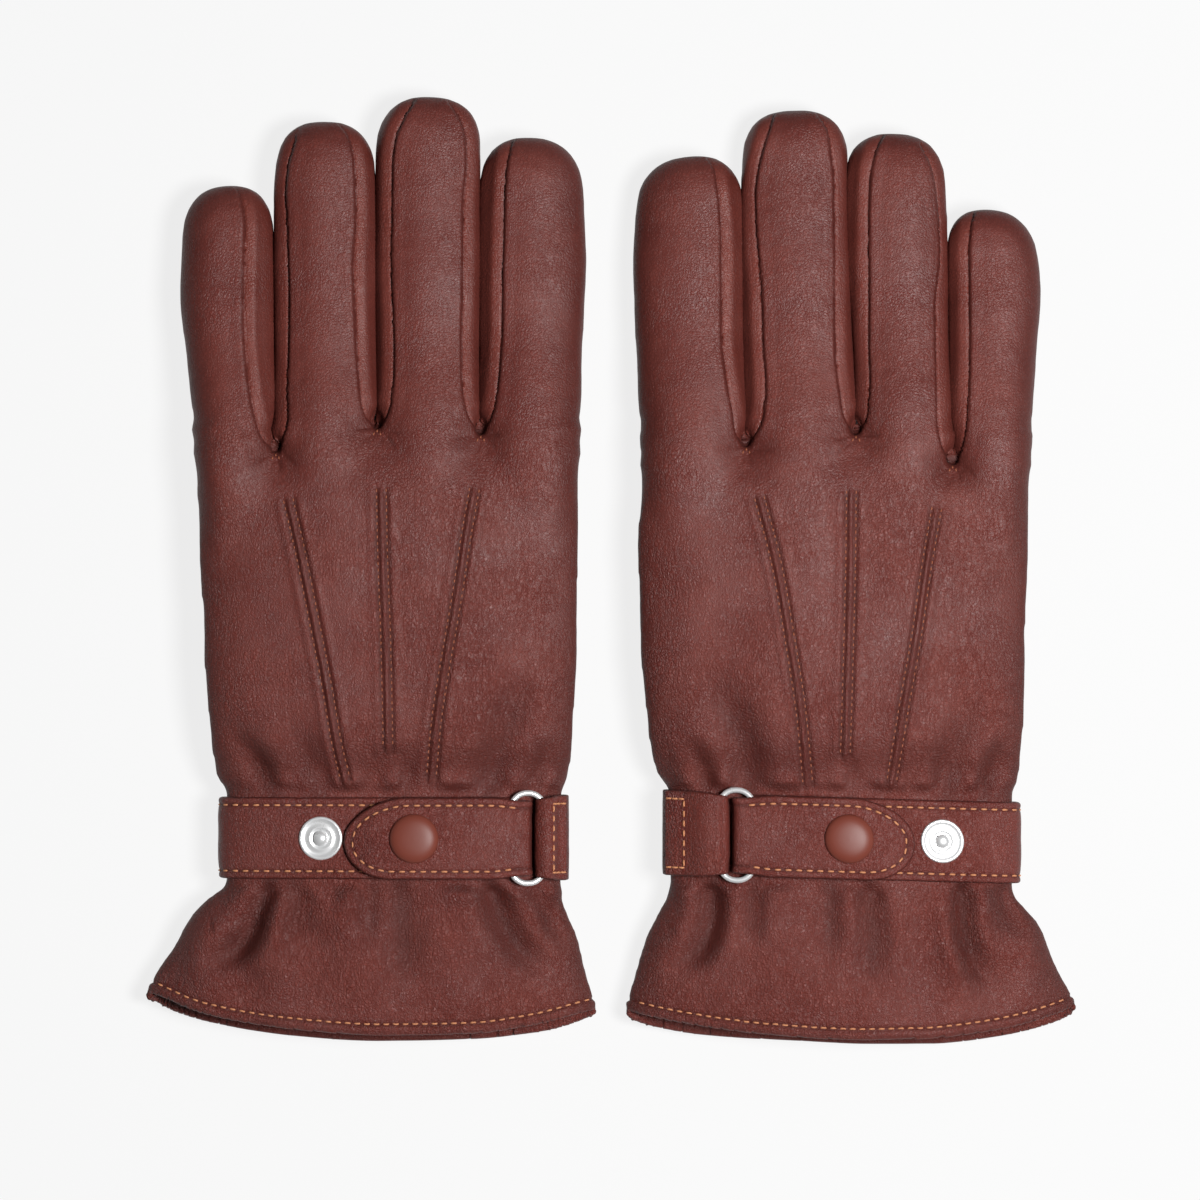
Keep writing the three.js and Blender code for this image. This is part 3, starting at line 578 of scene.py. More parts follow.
def hand_sections(glove):
    ys = [*np.linspace(-139, HAND_END - 6, 90), *(HAND_END - back for back in (4, 2, 0.5, 0))]
    sections = []
    for y in ys:
        little, index = glove.little_side(y), glove.index_side(y)
        wrist = band(y, *WRIST_BAND)
        flatter = 1 - 0.5 * smoothstep(HAND_END - 18, HAND_END + 3, y)
        narrower = 1 - 0.11 * smoothstep(HAND_END - 15, HAND_END, y)
        half = (index - little) / 2
        half += (glove.wrist_half - half) * wrist
        sections.append((float((little + index) / 2 * (1 - wrist)), y, float(under(y) + over(y)) / 2,
                         float(half * narrower), float(over(y) - under(y)) / 2 * flatter,
                         float(HAND_POWER + (WRIST_POWER - HAND_POWER) * wrist)))
    return sections


def to_crotches(glove, points):
    """The hand's end drawn out or in, so that it stops at each crotch."""
    xs, ys = zip(*glove.crotches)
    stop = np.interp(points[:, 0], [-60, *xs, 60], [ys[0] + 2, *ys, ys[-1] + 2]) + 0.6
    p = points.copy()
    p[:, 1] += (stop - HAND_END) * smoothstep(HAND_END - 22, HAND_END, p[:, 1])
    return p


def thumb_sections():
    (x0, y0), (x1, y1) = THUMB_FROM, THUMB_TO
    half_z = THUMB_TOP / 2 + 0.5
    sections = []
    for along in np.linspace(0.01, 0.99, 24):
        share = min(1.0, (1 - max(0.0, (along - 0.75) / 0.25) ** 2.2) ** 0.45) * min(1.0, 0.8 + along * 1.6)
        sections.append((x0 + (x1 - x0) * along, y0 + (y1 - y0) * along, half_z,
                         THUMB_HALF * share, half_z * max(share, 0.55), THUMB_POWER))
    return sections


def base_skin(glove):
    """The glove's outer skin as an even quad mesh, with the fingers drawn together again."""
    points, faces = [], []

    def add(part, move):
        p, f = part
        start = sum(len(q) for q in points)
        points.append(move(p))
        faces.extend([tuple(i + start for i in face) for face in f])

    add(tube(hand_sections(glove), 96), lambda p: spread_apart(glove, to_crotches(glove, p)))
    for line in glove.fingers.values():
        def aside(p, middle=spline(line, 1)):
            out = p.copy()
            for x, spread, _ in crevices(glove, p[:, 1]):
                out[:, 0] += np.sign(middle(p[:, 1]) - x) * spread / 2
            return out
        add(tube(finger_sections(line), 40), aside)
    add(tube(thumb_sections(), 32), lambda p: p)
    obj = new_object("skin_" + glove.name, np.concatenate(points), faces)
    p, quads = after_modifier(obj, "REMESH", mode="VOXEL", voxel_size=VOXEL, adaptivity=0.0)
    pairs = np.unique(np.sort(directed_edges(quads), 1), axis=0)
    p = smoothed(p, pairs, 5, 0.5)
    knuckles = band(p[:, 1], *SMOOTHED_KNUCKLES) * (p[:, 2] > 10)
    p = smoothed(p, pairs, int(26 / VOXEL), 0.5 * knuckles)
    p = smoothed(p, pairs, int(6 / VOXEL), 0.5 * band(p[:, 1], *SMOOTHED_WRIST))
    obj = quad_object("fine_" + glove.name, p, quads)
    p, quads = after_modifier(obj, "SUBSURF", levels=1, subdivision_type="CATMULL_CLARK")
    return drawn_together(glove, p), quads


# ---------------------------------------------------------------- relief of the leather

def seam_lines(glove):
    """The two seams at each crotch on the glove's back, from the crotch to the fingertips."""
    lines = []
    for k, table in enumerate(glove.seams):
        y, lower, upper = np.array(table, float).T
        x = crevices(glove, y)[k][0]
        lines += [even_line(np.stack([x + away, y], 1), 1.5) for away in (-lower, upper)]
    return lines


def crotch_creases(glove):
    """Short fine creases that run out from each crotch."""
    rng = np.random.default_rng(7)
    found = []
    for x, y in glove.crotches:
        for turn in (-168, -140, -112, -75, -45, -14):
            a = math.radians(turn + rng.uniform(-9, 9))
            end = rng.uniform(5, 9)
            bend = rng.uniform(-0.15, 0.15)
            line = [(x + far * math.cos(way), y - 0.6 + far * math.sin(way))
                    for far, way in ((1.6, a), (0.5 * end, a + bend), (end, a))]
            found.append((line, rng.uniform(0.1, 0.26), 0.6))
    return found


class Relief:
    """What the leather's relief adds to the smooth skin: out is how far each point moves outwards, and
    the painted shade how dark its colour is painted where it lies in a groove, fold or dimple, from 0 to 1.
    Heights, widths and places are in mm."""

    def __init__(self, glove, points, normals):
        self.glove, self.p, self.n = glove, points, normals
        self.out, self.crease = np.zeros(len(points)), np.zeros(len(points))
        self.top = smoothstep(-0.15, 0.3, normals[:, 2])
        self.under_strap = band(points[:, 1], *STRAP_BAND)
        self.free = 1 - self.under_strap
        self.swells()
        self.seams()
        self.crotches()
        self.points()
        for line, depth, width in glove.folds:
            self.fold(line, depth * 1.35, width * 1.25)
        for line, depth, width in crotch_creases(glove):
            self.fold(line, depth, width)
        self.gathers()
        self.hem()
        # The underside stays on the table.
        self.out = np.minimum(self.out, np.where(points[:, 2] < 6, 0.1, 9))

    def paint_shade(self, at, value):
        # Paints shade into the colour at these points: each point keeps the darkest value given to it.
        self.crease[at] = np.maximum(self.crease[at], value)

    def swells(self):
        """The padding's soft swells, and the cuff's upright waves."""
        p = self.p
        self.out += (0.32 * ripple(p, 34, 1) + 0.07 * ripple(p, 15, 2, (1, 0.6, 1))
                     + 0.02 * ripple(p, 6, 3)) * self.free
        self.out -= 0.25 * self.under_strap
        cuff = 1 - smoothstep(-98, -86, p[:, 1])
        towards_strap = 0.4 + 0.6 * smoothstep(-126, -104, p[:, 1])
        self.out += 0.55 * ripple(p, 19, 11, (1, 0.12, 0.1)) * cuff * towards_strap

    def seams(self):
        """At a seam the panel ends in a rolled, puckered ridge, and the fourchette lies lower. Shade is
        painted into the groove between them.
        """
        for k, line in enumerate(seam_lines(self.glove)):
            at, dist, along, side, _ = near_line(self.p, line, 7)
            d = dist * side * (1 if k % 2 == 0 else -1)
            scallop = 0.7 + 0.3 * np.cos(along * 2 * math.pi / SEAM_PITCH)
            fade = (smoothstep(0, 5, along + 1) * 0.8 + 0.2) * smoothstep(0.05, 0.55, self.n[at, 2])
            ridge = 0.3 * hump(d, 0.8, 0.5) * scallop
            roll = 0.25 * hump(d, 1.6, 1.4) * (d > 0)
            drop = 0.25 * (d < 0.2) * hump(np.minimum(d, 0), 0, 1.6)
            bulge = 0.4 * hump(d, -2.9, 1.3) * smoothstep(2, 9, along)
            groove = 0.42 * hump(d, -0.05, 0.42)
            self.out[at] += (ridge + roll - drop + bulge - groove) * fade
            # Painted shade in the seam's groove.
            self.paint_shade(at, 0.65 * hump(d, -0.05, 0.34) * (1.25 - 0.5 * scallop) * fade)

    def crotches(self):
        """A dimple at each crotch, with shade painted into it."""
        for x, y in self.glove.crotches:
            r = np.hypot(self.p[:, 0] - x, (self.p[:, 1] - y - 1.2) * 0.6)
            self.out -= 2.2 * hump(r, 0, 1.3) * self.top
            # Painted shade in the dimple.
            self.paint_shade(slice(None), hump(r, 0, 1.2) * self.top)

    def points(self):
        """The three points: a tucked ridge with a stitched groove on either side, with shade painted into the
        grooves.
        """
        for line in self.glove.points:
            at, dist, along, _, length = near_line(self.p, even_line(line, 1.5), 5)
            ends = smoothstep(0, 3.5, along) * smoothstep(0, 3, length - along + 0.5) * self.top[at]
            ridge = 0.62 * hump(dist, 0, 0.62)
            sunk = 0.35 * np.cos(along * 2 * math.pi / POINT_PITCH)
            groove = 0.5 * hump(dist, POINT_STITCH, 0.42) * (1 + sunk)
            pillow = 0.3 * hump(dist, 2.9, 1.1)
            self.out[at] += (ridge - groove + pillow) * ends
            # Painted shade in the stitched grooves.
            self.paint_shade(at, 0.8 * hump(dist, POINT_STITCH, 0.4) * ends)

    def fold(self, line, depth, width):
        """A valley with a low shoulder on either side, and shade painted into the valley. The folds beside
        the strap run on under it.
        """
        at, dist, along, _, length = near_line(self.p, even_line(line, 1.5), width * 4)
        start_y = line[0][1]
        if start_y < -60:
            fade = smoothstep(0, 0.5, 1 - along / length)
        elif start_y < 0:
            fade = smoothstep(0, 0.6, along / length)
        else:
            fade = smoothstep(0, 0.25, along / length) * smoothstep(0, 0.45, 1 - along / length)
        fade = fade * self.top[at]
        d = dist / width
        self.out[at] += depth * (0.3 * hump(d, 2.1, 1.2) - hump(d, 0, 1)) * fade * self.free[at]
        # Painted shade in the fold's valley.
        self.paint_shade(at, min(0.75, 0.25 * depth + 0.1) * hump(d, 0, 0.8) * fade)

    def gathers(self):
        """The leather is gathered along both edges of the strap."""
        x, y = self.p[:, 0], self.p[:, 1]
        waves = np.sin(x * 0.46 + 1.6 * np.sin(x * 0.11 + 2) + 0.5 * ripple(self.p, 20, 5))
        for way in (1, -1):
            away = (y - (STRAP_MIDDLE + way * STRAP_WIDTH / 2) - self.glove.tilt * x) * way
            near = np.exp(-np.maximum(away, 0) / 7) * (away > -1.5)
            self.out += (0.35 * waves * near + (0.3 + 0.3 * waves) * hump(away, 4, 3)) * self.top * self.free

    def hem(self):
        """The hem's stitched groove with shade painted into it, and its padded roll below it."""
        above = self.p[:, 1] - self.glove.front_edge(self.p[:, 0])
        groove = hump(above, HEM_STITCH, 0.5)
        self.out += 0.35 * hump(above, 1.1, 1.0) - 0.45 * groove
        # Painted shade in the hem's groove.
        self.paint_shade(slice(None), 0.5 * groove)


# ---------------------------------------------------------------- cutting the skin into its pieces

BACK, PALM, THUMB, FIRST_FOURCHETTE, BINDING = 0, 1, 2, 3, 6
FOURCHETTES = ("little_ring", "ring_middle", "middle_index")
# Number, name, look, slot and CAD node of each piece of the skin.
SKIN_PIECES = [(BACK, "back_skin", "leather", "glove_leather", "back_panel"),
               (PALM, "palm_skin", "leather", "glove_leather", "palm_panel"),
               (THUMB, "thumb_skin", "leather", "glove_leather", "thumb_panel"),
               *((FIRST_FOURCHETTE + k, "gusset_" + pair, "gusset", "gusset_leather", "fourchette_" + pair)
                 for k, pair in enumerate(FOURCHETTES)),
               (BINDING, "hem_binding", "leather", "glove_leather", "cuff_binding")]


def snapped(points, normals, line, reach):
    """Points near a line in plan, moved onto it in plan, where the skin faces up or down."""
    at, _, along, _, _ = near_line(points, line, reach)
    level = np.abs(normals[at, 2]) > 0.35
    at, along = at[level], along[level]
    for axis in range(2):
        points[at, axis] = np.interp(along, run_along(line), line[:, axis])


def rolled_hem(points, quads, crease, glove):
    """The skin's cut edge turned round and up inside the cuff, as more points and quads."""
    directed = directed_edges(quads)
    _, index, count = np.unique(np.sort(directed, 1), axis=0, return_index=True, return_counts=True)
    border = directed[index[count == 1]]
    distance = [np.abs(points[end, 1] - glove.hem_for(points[end])) for end in border.T]
    border = border[np.max(distance, 0) < 1.0]
    ring = np.unique(border)
    n = normals_of(points, quads)[ring]
    outward = np.tile([0.0, -1.0, 0.0], (len(ring), 1))
    outward -= n * (outward * n).sum(1, keepdims=True)
    outward /= np.linalg.norm(outward, axis=1, keepdims=True)
    number = np.full(len(points), -1)
    number[ring] = np.arange(len(ring))
    steps = [(HEM_ROLL * math.sin(math.radians(a)), HEM_ROLL * (1 - math.cos(math.radians(a))))
             for a in (30, 60, 90, 120, 150, 180)]
    steps += [(-1.0, 2 * HEM_ROLL + 0.25), (-2.6, 2 * HEM_ROLL + 0.8)]
    rings, added, start = [ring], [], len(points)
    for forth, deep in steps:
        added.append(points[ring] + outward * forth - n * deep)
        rings.append(start + np.arange(len(ring)))
        start += len(ring)
    i, j = number[border[:, 0]], number[border[:, 1]]
    roll = np.concatenate([np.stack([a[j], a[i], b[i], b[j]], 1) for a, b in zip(rings[:-1], rings[1:])])
    return np.concatenate([points] + added), roll, np.concatenate([crease, np.zeros(start - len(points))])


def pattern_pieces(glove, centre, lines):
    """Which piece of the skin each face belongs to, by its centre."""
    x, y, z = centre.T
    kind = np.where(z > (under(y) + over(y)) / 2, BACK, PALM)
    (x0, y0), (x1, y1) = THUMB_FROM, THUMB_TO
    middle = x0 + (x1 - x0) * np.clip((y - y0) / (y1 - y0), 0, 1)
    beside = (np.abs(x - middle) < THUMB_HALF + 1) & (y > y0 - 1) & (y < y1 + 1)
    kind[beside & (z < THUMB_TOP + 1.2)] = THUMB
    for k, (at, _, _) in enumerate(crevices(glove, y)):
        low, high = (np.interp(y, line[:, 1], line[:, 0] - crevices(glove, line[:, 1])[k][0])
                     for line in lines[2 * k:2 * k + 2])
        between = (x > at + low) & (x < at + high) & (y > glove.crotches[k][1] - 0.3) & (z > 1.2)
        kind[between] = FIRST_FOURCHETTE + k
    binding = (y < glove.hem_for(centre) + HEM_STITCH) & (kind < THUMB)
    return np.where(binding, BINDING, kind)


def build_skin(glove):
    p, quads = base_skin(glove)
    n = normals_of(p, quads)
    relief = Relief(glove, p, n)
    p = p + n * relief.out[:, None]
    p[:, 2] = np.maximum(p[:, 2], 0.02)
    # Painted shade: the colour is darker down the sides and on the flanks of the folds, the steeper the
    # surface is.
    slope = np.sqrt(np.maximum(1 - normals_of(p, quads)[:, 2] ** 2, 0))
    crease = np.maximum(relief.crease, 0.55 * smoothstep(0.04, 0.66, slope))
    lines = seam_lines(glove)
    for line in lines:
        snapped(p, n, line, SNAP_REACH)
    hem = glove.hem_for(p)
    close = np.abs(p[:, 1] - hem) < SNAP_REACH
    p[close, 1] = hem[close]

    centre = p[quads].mean(1)
    keep = centre[:, 1] > glove.hem_for(centre) + 0.02
    quads, centre = quads[keep], centre[keep]
    surface = quad_object(glove.name + "_whole", glove.place(p), quads if glove.side > 0 else quads[:, ::-1])
    bpy.context.view_layer.update()
    glove.surface = bvhtree.BVHTree.FromObject(surface, bpy.context.evaluated_depsgraph_get())
    bpy.data.objects.remove(surface, do_unlink=True)

    p, roll, crease = rolled_hem(p, quads, crease, glove)
    kinds = np.concatenate([pattern_pieces(glove, centre, lines), np.full(len(roll), BINDING)])
    every = np.concatenate([quads, roll])
    for number, name, look, slot, node in SKIN_PIECES:
        piece(name, glove, p, every[kinds == number], look, slot, node, crease=crease)


# ---------------------------------------------------------------- straps

def strip_path(*runs):
    """Underside points (x, z, normal x, normal z), joined and cut into even steps, after how far along
    the path each of them is."""
    rows = np.concatenate(runs)
    along = run_along(rows[:, :2])
    keep = np.concatenate([[True], np.diff(along) > 1e-6])
    rows, along = rows[keep], along[keep]
    s = np.linspace(0, along[-1], max(8, int(along[-1] / PATH_STEP)))
    even = np.stack([np.interp(s, along, rows[:, k]) for k in range(4)], 1)
    even[:, 2:] /= np.linalg.norm(even[:, 2:], axis=1, keepdims=True)
    return s, even


def arc(centre, reach, start, end):
    """Part of an oval about a bar, in degrees: reach is how far it stands off the bar sideways."""
    a = np.radians(np.linspace(start, end, 24))
    normal = np.stack([np.cos(a) / reach, np.sin(a) / FOLD_RADIUS], 1)
    normal /= np.linalg.norm(normal, axis=1, keepdims=True)
    place = np.stack([centre[0] + reach * np.cos(a), centre[1] + FOLD_RADIUS * np.sin(a)], 1)
    return np.concatenate([place, normal], 1)


class Strip:
    """A strap that follows a path over the wrist. low and high are its edges' y at each step of the path,
    and ends says which of its ends are cut off square."""

    # Distances from the edge at which the section has a point, for a strap over 10 mm wide.
    INSETS = np.array([0, 0.12, 0.3, 0.55, 0.85, 1.2, 1.6, 1.9, 2.2, 2.5, 2.8, 3.3, 4.0])

    def __init__(self, glove, path, low, high, ends, stitched=True):
        self.glove, self.low, self.high, self.stitched = glove, low, high, stitched
        self.s, self.path = path
        self.sides = [np.stack([self.s, edge], 1) for edge in (low, high)]
        cuts = [np.array([[self.s[k], low[k]], [self.s[k], high[k]]]) for k, cut in zip((0, -1), ends) if cut]
        y = np.array([self.section(*edges) for edges in zip(low, high)])
        steps, across = y.shape
        plan = np.stack([np.repeat(self.s, across), y.ravel()], 1)
        e = np.min([outline_distance(plan, line) for line in self.sides + cuts], 0).reshape(y.shape)
        sole = 0.35 * (1 - np.sqrt(1 - (1 - np.minimum(e / 0.5, 1)) ** 2))
        rows = np.concatenate([self.lifted(y, self.height(e)), self.lifted(y, sole)[:, ::-1]], 1)
        self.points = rows.reshape(-1, 3)
        self.quads = self.closed_quads(steps, across)
        # Painted shade in the stitch groove and over the whole underside; the colour is also darker along the
        # edge.
        groove = 0.6 * hump(e, STITCH_INSET, 0.5) if stitched else 0 * e
        top = np.maximum(groove, 0.6 * hump(e, 0, 0.35))
        self.crease = np.concatenate([top, np.full(y.shape, 0.5)], 1).ravel()

    def section(self, low, high):
        e = self.INSETS * min(1, (high - low) / 10.0)
        middle = np.linspace(low + e[-1], high - e[-1], 12)[1:-1]
        return np.concatenate([low + e, middle, (high - e)[::-1]])

    def lifted(self, y, rise):
        """The points over the path at each y, at a height over it."""
        base = self.path[:, None, :2] + self.path[:, None, 2:] * rise[:, :, None]
        return np.stack([base[:, :, 0], y, base[:, :, 1]], 2)

    def closed_quads(self, steps, across):
        """The faces round the strap and over both its ends, all facing out."""
        n = across * 2
        k = np.arange(across - 1)
        caps = [np.stack([row + k, row + n - 1 - k, row + n - 2 - k, row + k + 1], -1)
                for row in (0, (steps - 1) * n)]
        quads = np.concatenate([wrapped_quads(steps, n), caps[0], caps[1][:, ::-1]])
        a, b, c = (self.points[quads[:, corner]] for corner in range(3))
        volume = np.einsum("ij,ij->i", a, np.cross(b, c)).sum()
        return quads if volume > 0 else quads[:, ::-1]

    def height(self, e):
        """The top's height over the underside, at a distance from the edge."""
        rounded = np.sqrt(np.maximum(0, 1 - (1 - np.minimum(e / 0.75, 1)) ** 2))
        h = STRAP_THICK * (0.3 + 0.7 * rounded) + STRAP_DOME * smoothstep(1, 6, e)
        if self.stitched:
            h = h - 0.3 * hump(e, STITCH_INSET, 0.4) + 0.1 * hump(e, 1.0, 0.5)
        return h

    def build(self, name, stands_for, **riding):
        p = self.glove.tilted(self.points)
        p += normals_of(p, self.quads) * (0.05 * ripple(p, 9, 11) + 0.025 * ripple(p, 3.5, 12))[:, None]
        piece(name, self.glove, p, self.quads, "leather", "strap_leather", stands_for, crease=self.crease,
              **riding)

    def spots(self, line, inset):
        """Stitch places along a plan line (s, y): their middles, directions and normals, in mm."""
        h = self.height(inset)
        ahead = 0.2
        found = []
        for a, b in zip(line[:-1], line[1:]):
            s, y = (a + b) / 2
            x, z, nx, nz = (np.interp(s, self.s, self.path[:, k]) for k in range(4))
            next_x, next_z = (np.interp(s + ahead, self.s, self.path[:, k]) for k in range(2))
            along, across = (b - a) / np.hypot(*(b - a))
            direction = ((next_x - x) / ahead * along, across, (next_z - z) / ahead * along)
            found.append(((x + nx * h, y, z + nz * h), direction, (nx, 0, nz)))
        found = np.array(found)
        found[:, :2] = self.glove.tilted(found[:, :2])
        return found

    def stitch_lines(self, round_start=False):
        """The lines inset from the strap's edges, with points a stitch apart. They are one line where
        they run round the strap's start."""
        low, high = self.sides
        made = []
        for line in [np.concatenate([low[::-1], high])] if round_start else [low, high]:
            d = np.gradient(line, axis=0)
            size = np.hypot(d[:, 0], d[:, 1])
            d = d / np.where(size == 0, 1, size)[:, None]
            normal = np.stack([d[:, 1], -d[:, 0]], 1)
            if not round_start:
                middle = np.interp(line[:, 0], self.s, (self.low + self.high) / 2)
                normal *= np.sign(normal[:, 1] * (middle - line[:, 1]))[:, None]
            moved = line + normal * STITCH_INSET
            clear = np.min([outline_distance(moved, edge) for edge in self.sides], 0) > STITCH_INSET - 0.06
            moved = moved[clear]
            along = run_along(moved)
            q = np.arange(0.6, along[-1], STRAP_PITCH)
            made.append(np.stack([np.interp(q, along, moved[:, k]) for k in range(2)], 1))
        return made


def build_strap(glove):
    """The lower run, from under the palm round the little finger's side to the ring."""
    tab_bar, _, _ = glove.ring_bars()
    t = np.linspace(math.radians(STRAP_FROM), glove.angle(tab_bar[0] + 0.8, 0.3), 400)
    path = strip_path(glove.wrist(t, 0.25))
    middle = np.full(len(path[0]), float(STRAP_MIDDLE))
    strap = Strip(glove, path, middle - STRAP_WIDTH / 2, middle + STRAP_WIDTH / 2, (True, False))
    strap.build("strap_leather", "closure_strap")
    spots = np.concatenate([strap.spots(line, STITCH_INSET) for line in strap.stitch_lines()])
    thread("strap_thread", glove, spots, STRAP_STITCH, STRAP_THREAD)


def build_tab(glove):
    """The free end, from its round end over the snap and round the ring's bar."""
    tab_bar, _, along_strap = glove.ring_bars()
    fold = tab_bar + along_strap * TAB_BEYOND
    t = np.linspace(glove.angle(glove.tab_end - 0.6, 2.9), glove.angle(fold[0], TAB_RISE), 300)
    x = glove.wrist(t, TAB_RISE)[:, 0]
    rise = TAB_END_RISE + (TAB_RISE - TAB_END_RISE) * smoothstep(glove.tab_end - 1, glove.cap - 9, x)
    top = glove.wrist(t, rise)
    path = strip_path(top, arc(fold, FOLD_RADIUS, 90, -86))
    s = path[0]

    # The end is round on its lower side, drawn out longer on its upper one, and leans down a little.
    toward = np.clip(1 - s / TAB_ROUND, 0, 1)
    longer = np.clip(1 - s / TAB_DRAWN, 0, 1) ** TAB_DRAWN_POWER
    middle = STRAP_MIDDLE - TAB_LEAN * toward
    low = middle - STRAP_WIDTH / 2 * np.sqrt(1 - toward**2)
    high = middle + STRAP_WIDTH / 2 * np.sqrt(np.maximum(0, 1 - longer))
    fold_at = run_along(top[:, :2])[-1]
    narrow = TAB_NARROW * smoothstep(fold_at - 9, fold_at, s)
    tab = Strip(glove, path, np.minimum(low, high - 0.3) + narrow, high - narrow, (False, True))

    bend = [tuple(float(v) for v in glove.place((tab_bar[0] - far, STRAP_MIDDLE, tab_bar[1])))
            for far in TAB_BEND]
    tab.build("tab_leather", "closure_tab", bend=bend)
    line = tab.stitch_lines(round_start=True)[0]
    line = line[line[:, 0] < s[-1] - TAB_UNSTITCHED]
    thread("tab_thread", glove, tab.spots(line, STITCH_INSET), STRAP_STITCH, STRAP_THREAD, bend=bend)


def build_keeper(glove):
    """Its lower layer is sewn under the palm, and its upper one turns back round the ring's other bar."""
    _, bar, _ = glove.ring_bars()
    t = np.linspace(math.radians(KEEPER_FROM), glove.angle(bar[0], 1.7), 200)
    under_layer = glove.wrist(t, 0.2 + STRAP_THICK)
    under_layer[:, 2:] *= -1
    share = smoothstep(0.1, 0.62, np.linspace(0, 1, 200))
    t = np.linspace(glove.angle(bar[0], KEEPER_RISE), math.radians(KEEPER_TO), 200)
    over_layer = glove.wrist(t, KEEPER_RISE + (KEEPER_SEWN_DOWN - KEEPER_RISE) * share)
    path = strip_path(under_layer, arc(bar, 1.05, 268, 92), over_layer)
    s = path[0]
    turn = run_along(under_layer[:, :2])[-1] + math.pi / 2 * FOLD_RADIUS
    half = KEEPER_HALF - TAB_NARROW * hump(s, turn, 5)
    keeper = Strip(glove, path, STRAP_MIDDLE - half, STRAP_MIDDLE + half, (True, True), stitched=False)
    keeper.build("keeper_leather", "keeper_loop")
    column, end = s[-1] - KEEPER_SEWN, s[-1] - 0.8
    low, high = (STRAP_MIDDLE + side * (KEEPER_HALF - KEEPER_INSET) for side in (-1, 1))
    lines = [np.linspace((column, low), (column, high), 8), np.linspace((column, low), (end, low), 4),
             np.linspace((column, high), (end, high), 4)]
    spots = np.concatenate([keeper.spots(line, 5) for line in lines])
    thread("keeper_thread", glove, spots, STRAP_STITCH, STRAP_THREAD)


# ---------------------------------------------------------------- thread

def thread(name, glove, spots, length, radius, lift=0.3, look="thread", **riding):
    """Short arched stitches, each between two needle holes."""
    c, d, n = (np.array([row[k] for row in spots], float) for k in range(3))
    d /= np.linalg.norm(d, axis=1, keepdims=True)
    n -= d * (n * d).sum(1, keepdims=True)
    n /= np.linalg.norm(n, axis=1, keepdims=True)
    side = np.cross(d, n)
    u = np.array([-1, -0.86, -0.6, -0.25, 0.25, 0.6, 0.86, 1])
    fat = radius * np.array([0.35, 0.75, 0.95, 1, 1, 0.95, 0.75, 0.35])
    up = lift * radius * 2 - radius * 2.6 * np.abs(u) ** 4
    sides = 6
    a = np.arange(sides) / sides * 2 * math.pi
    forth = (u * length / 2)[:, None] + 0 * a
    rise = up[:, None] + np.sin(a) * fat[:, None]
    aside = np.cos(a) * fat[:, None]
    points = (c[:, None, None] + d[:, None, None] * forth[..., None] + n[:, None, None] * rise[..., None]
              + side[:, None, None] * aside[..., None]).reshape(-1, 3)
    one = wrapped_quads(len(u), sides)
    quads = (one[None] + (np.arange(len(c)) * sides * len(u))[:, None, None]).reshape(-1, 4)
    piece(name, glove, points, quads[:, ::-1], look, "strap_leather", **riding)


def surface_spots(glove, line, pitch, skip=0.5):
    """Stitch places on the skin under a plan line, in the glove's frame."""
    line = np.asarray(line, float)
    along = run_along(line)
    found = []
    for s in np.arange(skip, along[-1] - skip, pitch):
        pair = []
        for t in (s - pitch * 0.3, s + pitch * 0.3):
            x, y = (np.interp(t, along, line[:, k]) for k in range(2))
            start = glove.place([x, y, 60])
            hit, normal, _, _ = glove.surface.ray_cast(Vector(start), Vector((0, 0, -1)))
            if hit is None:
                break
            pair.append((glove.local(hit), normal))
        if len(pair) == 2:
            (a, na), (b, nb) = pair
            n = (na + nb).normalized()
            found.append(((a + b) / 2, b - a, (n.x * glove.side, n.y, n.z)))
    return found


def build_threads(glove):
    spots = []
    for line in glove.points:
        line = even_line(line, 1.0)
        for away in (-POINT_STITCH, POINT_STITCH):
            spots += surface_spots(glove, offset_line(line, away), POINT_PITCH, 2.2)
    thread("point_thread", glove, spots, 1.15, 0.2, 0.1, "dark_thread")
    x = np.linspace(glove.hem[0][0] + 2.5, glove.hem[-1][0] - 2.5, 200)
    spots = surface_spots(glove, np.stack([x, glove.front_edge(x) + HEM_STITCH], 1), HEM_PITCH)
    thread("hem_thread", glove, spots, 2.0, 0.28)
    spots = []
    for x, y in glove.crotches:
        for away in (-0.8, 0, 0.8):
            line = [(x + away, y - 1.2 - abs(away)), (x + away * 1.4, y - 3.4 + abs(away) * 0.3)]
            spots += surface_spots(glove, line, 1.6, 0.3)
    thread("crotch_thread", glove, spots, 1.1, 0.22, look="dark_thread")


# ---------------------------------------------------------------- metal

# Profiles as (radius, height), from the axis on. The socket's is a closed ring.
CAP = [(0.01, 2.2), (1.5, 2.18), (3, 2.1), (4.4, 1.94), (5.4, 1.68), (6.1, 1.32), (6.55, 0.9), (6.8, 0.5),
       (6.86, 0.25), (6.75, 0.05), (6.4, -0.1), (0.01, -0.1)]
SOCKET = [(2.6, 0.9), (2.6, 0.1), (2.9, 0), (5.6, 0), (5.95, 0.2), (6, 0.5), (5.8, 0.85), (5.2, 0.95),
          (2.9, 0.95), (2.6, 0.9)]
STUD = [(0.01, 2.1), (0.7, 2.06), (1.35, 1.86), (1.8, 1.5), (1.98, 1.1), (1.85, 0.75), (1.75, 0.52),
        (2.1, 0.4), (2.5, 0.42), (2.9, 0.62), (3.3, 0.66), (3.7, 0.5), (4.3, 0.44), (4.9, 0.5), (5.3, 0.72),
        (5.7, 0.78), (6.0, 0.6), (6.08, 0.3), (5.95, 0.05), (5.5, -0.1), (0.01, -0.1)]
# Under the cap the stud is a little lower, so that it stays clear of it.
INNER_STUD = [(r, min(h, 1.95)) for r, h in STUD]
CROSS = np.array([0.0, 1.0, 0.0])


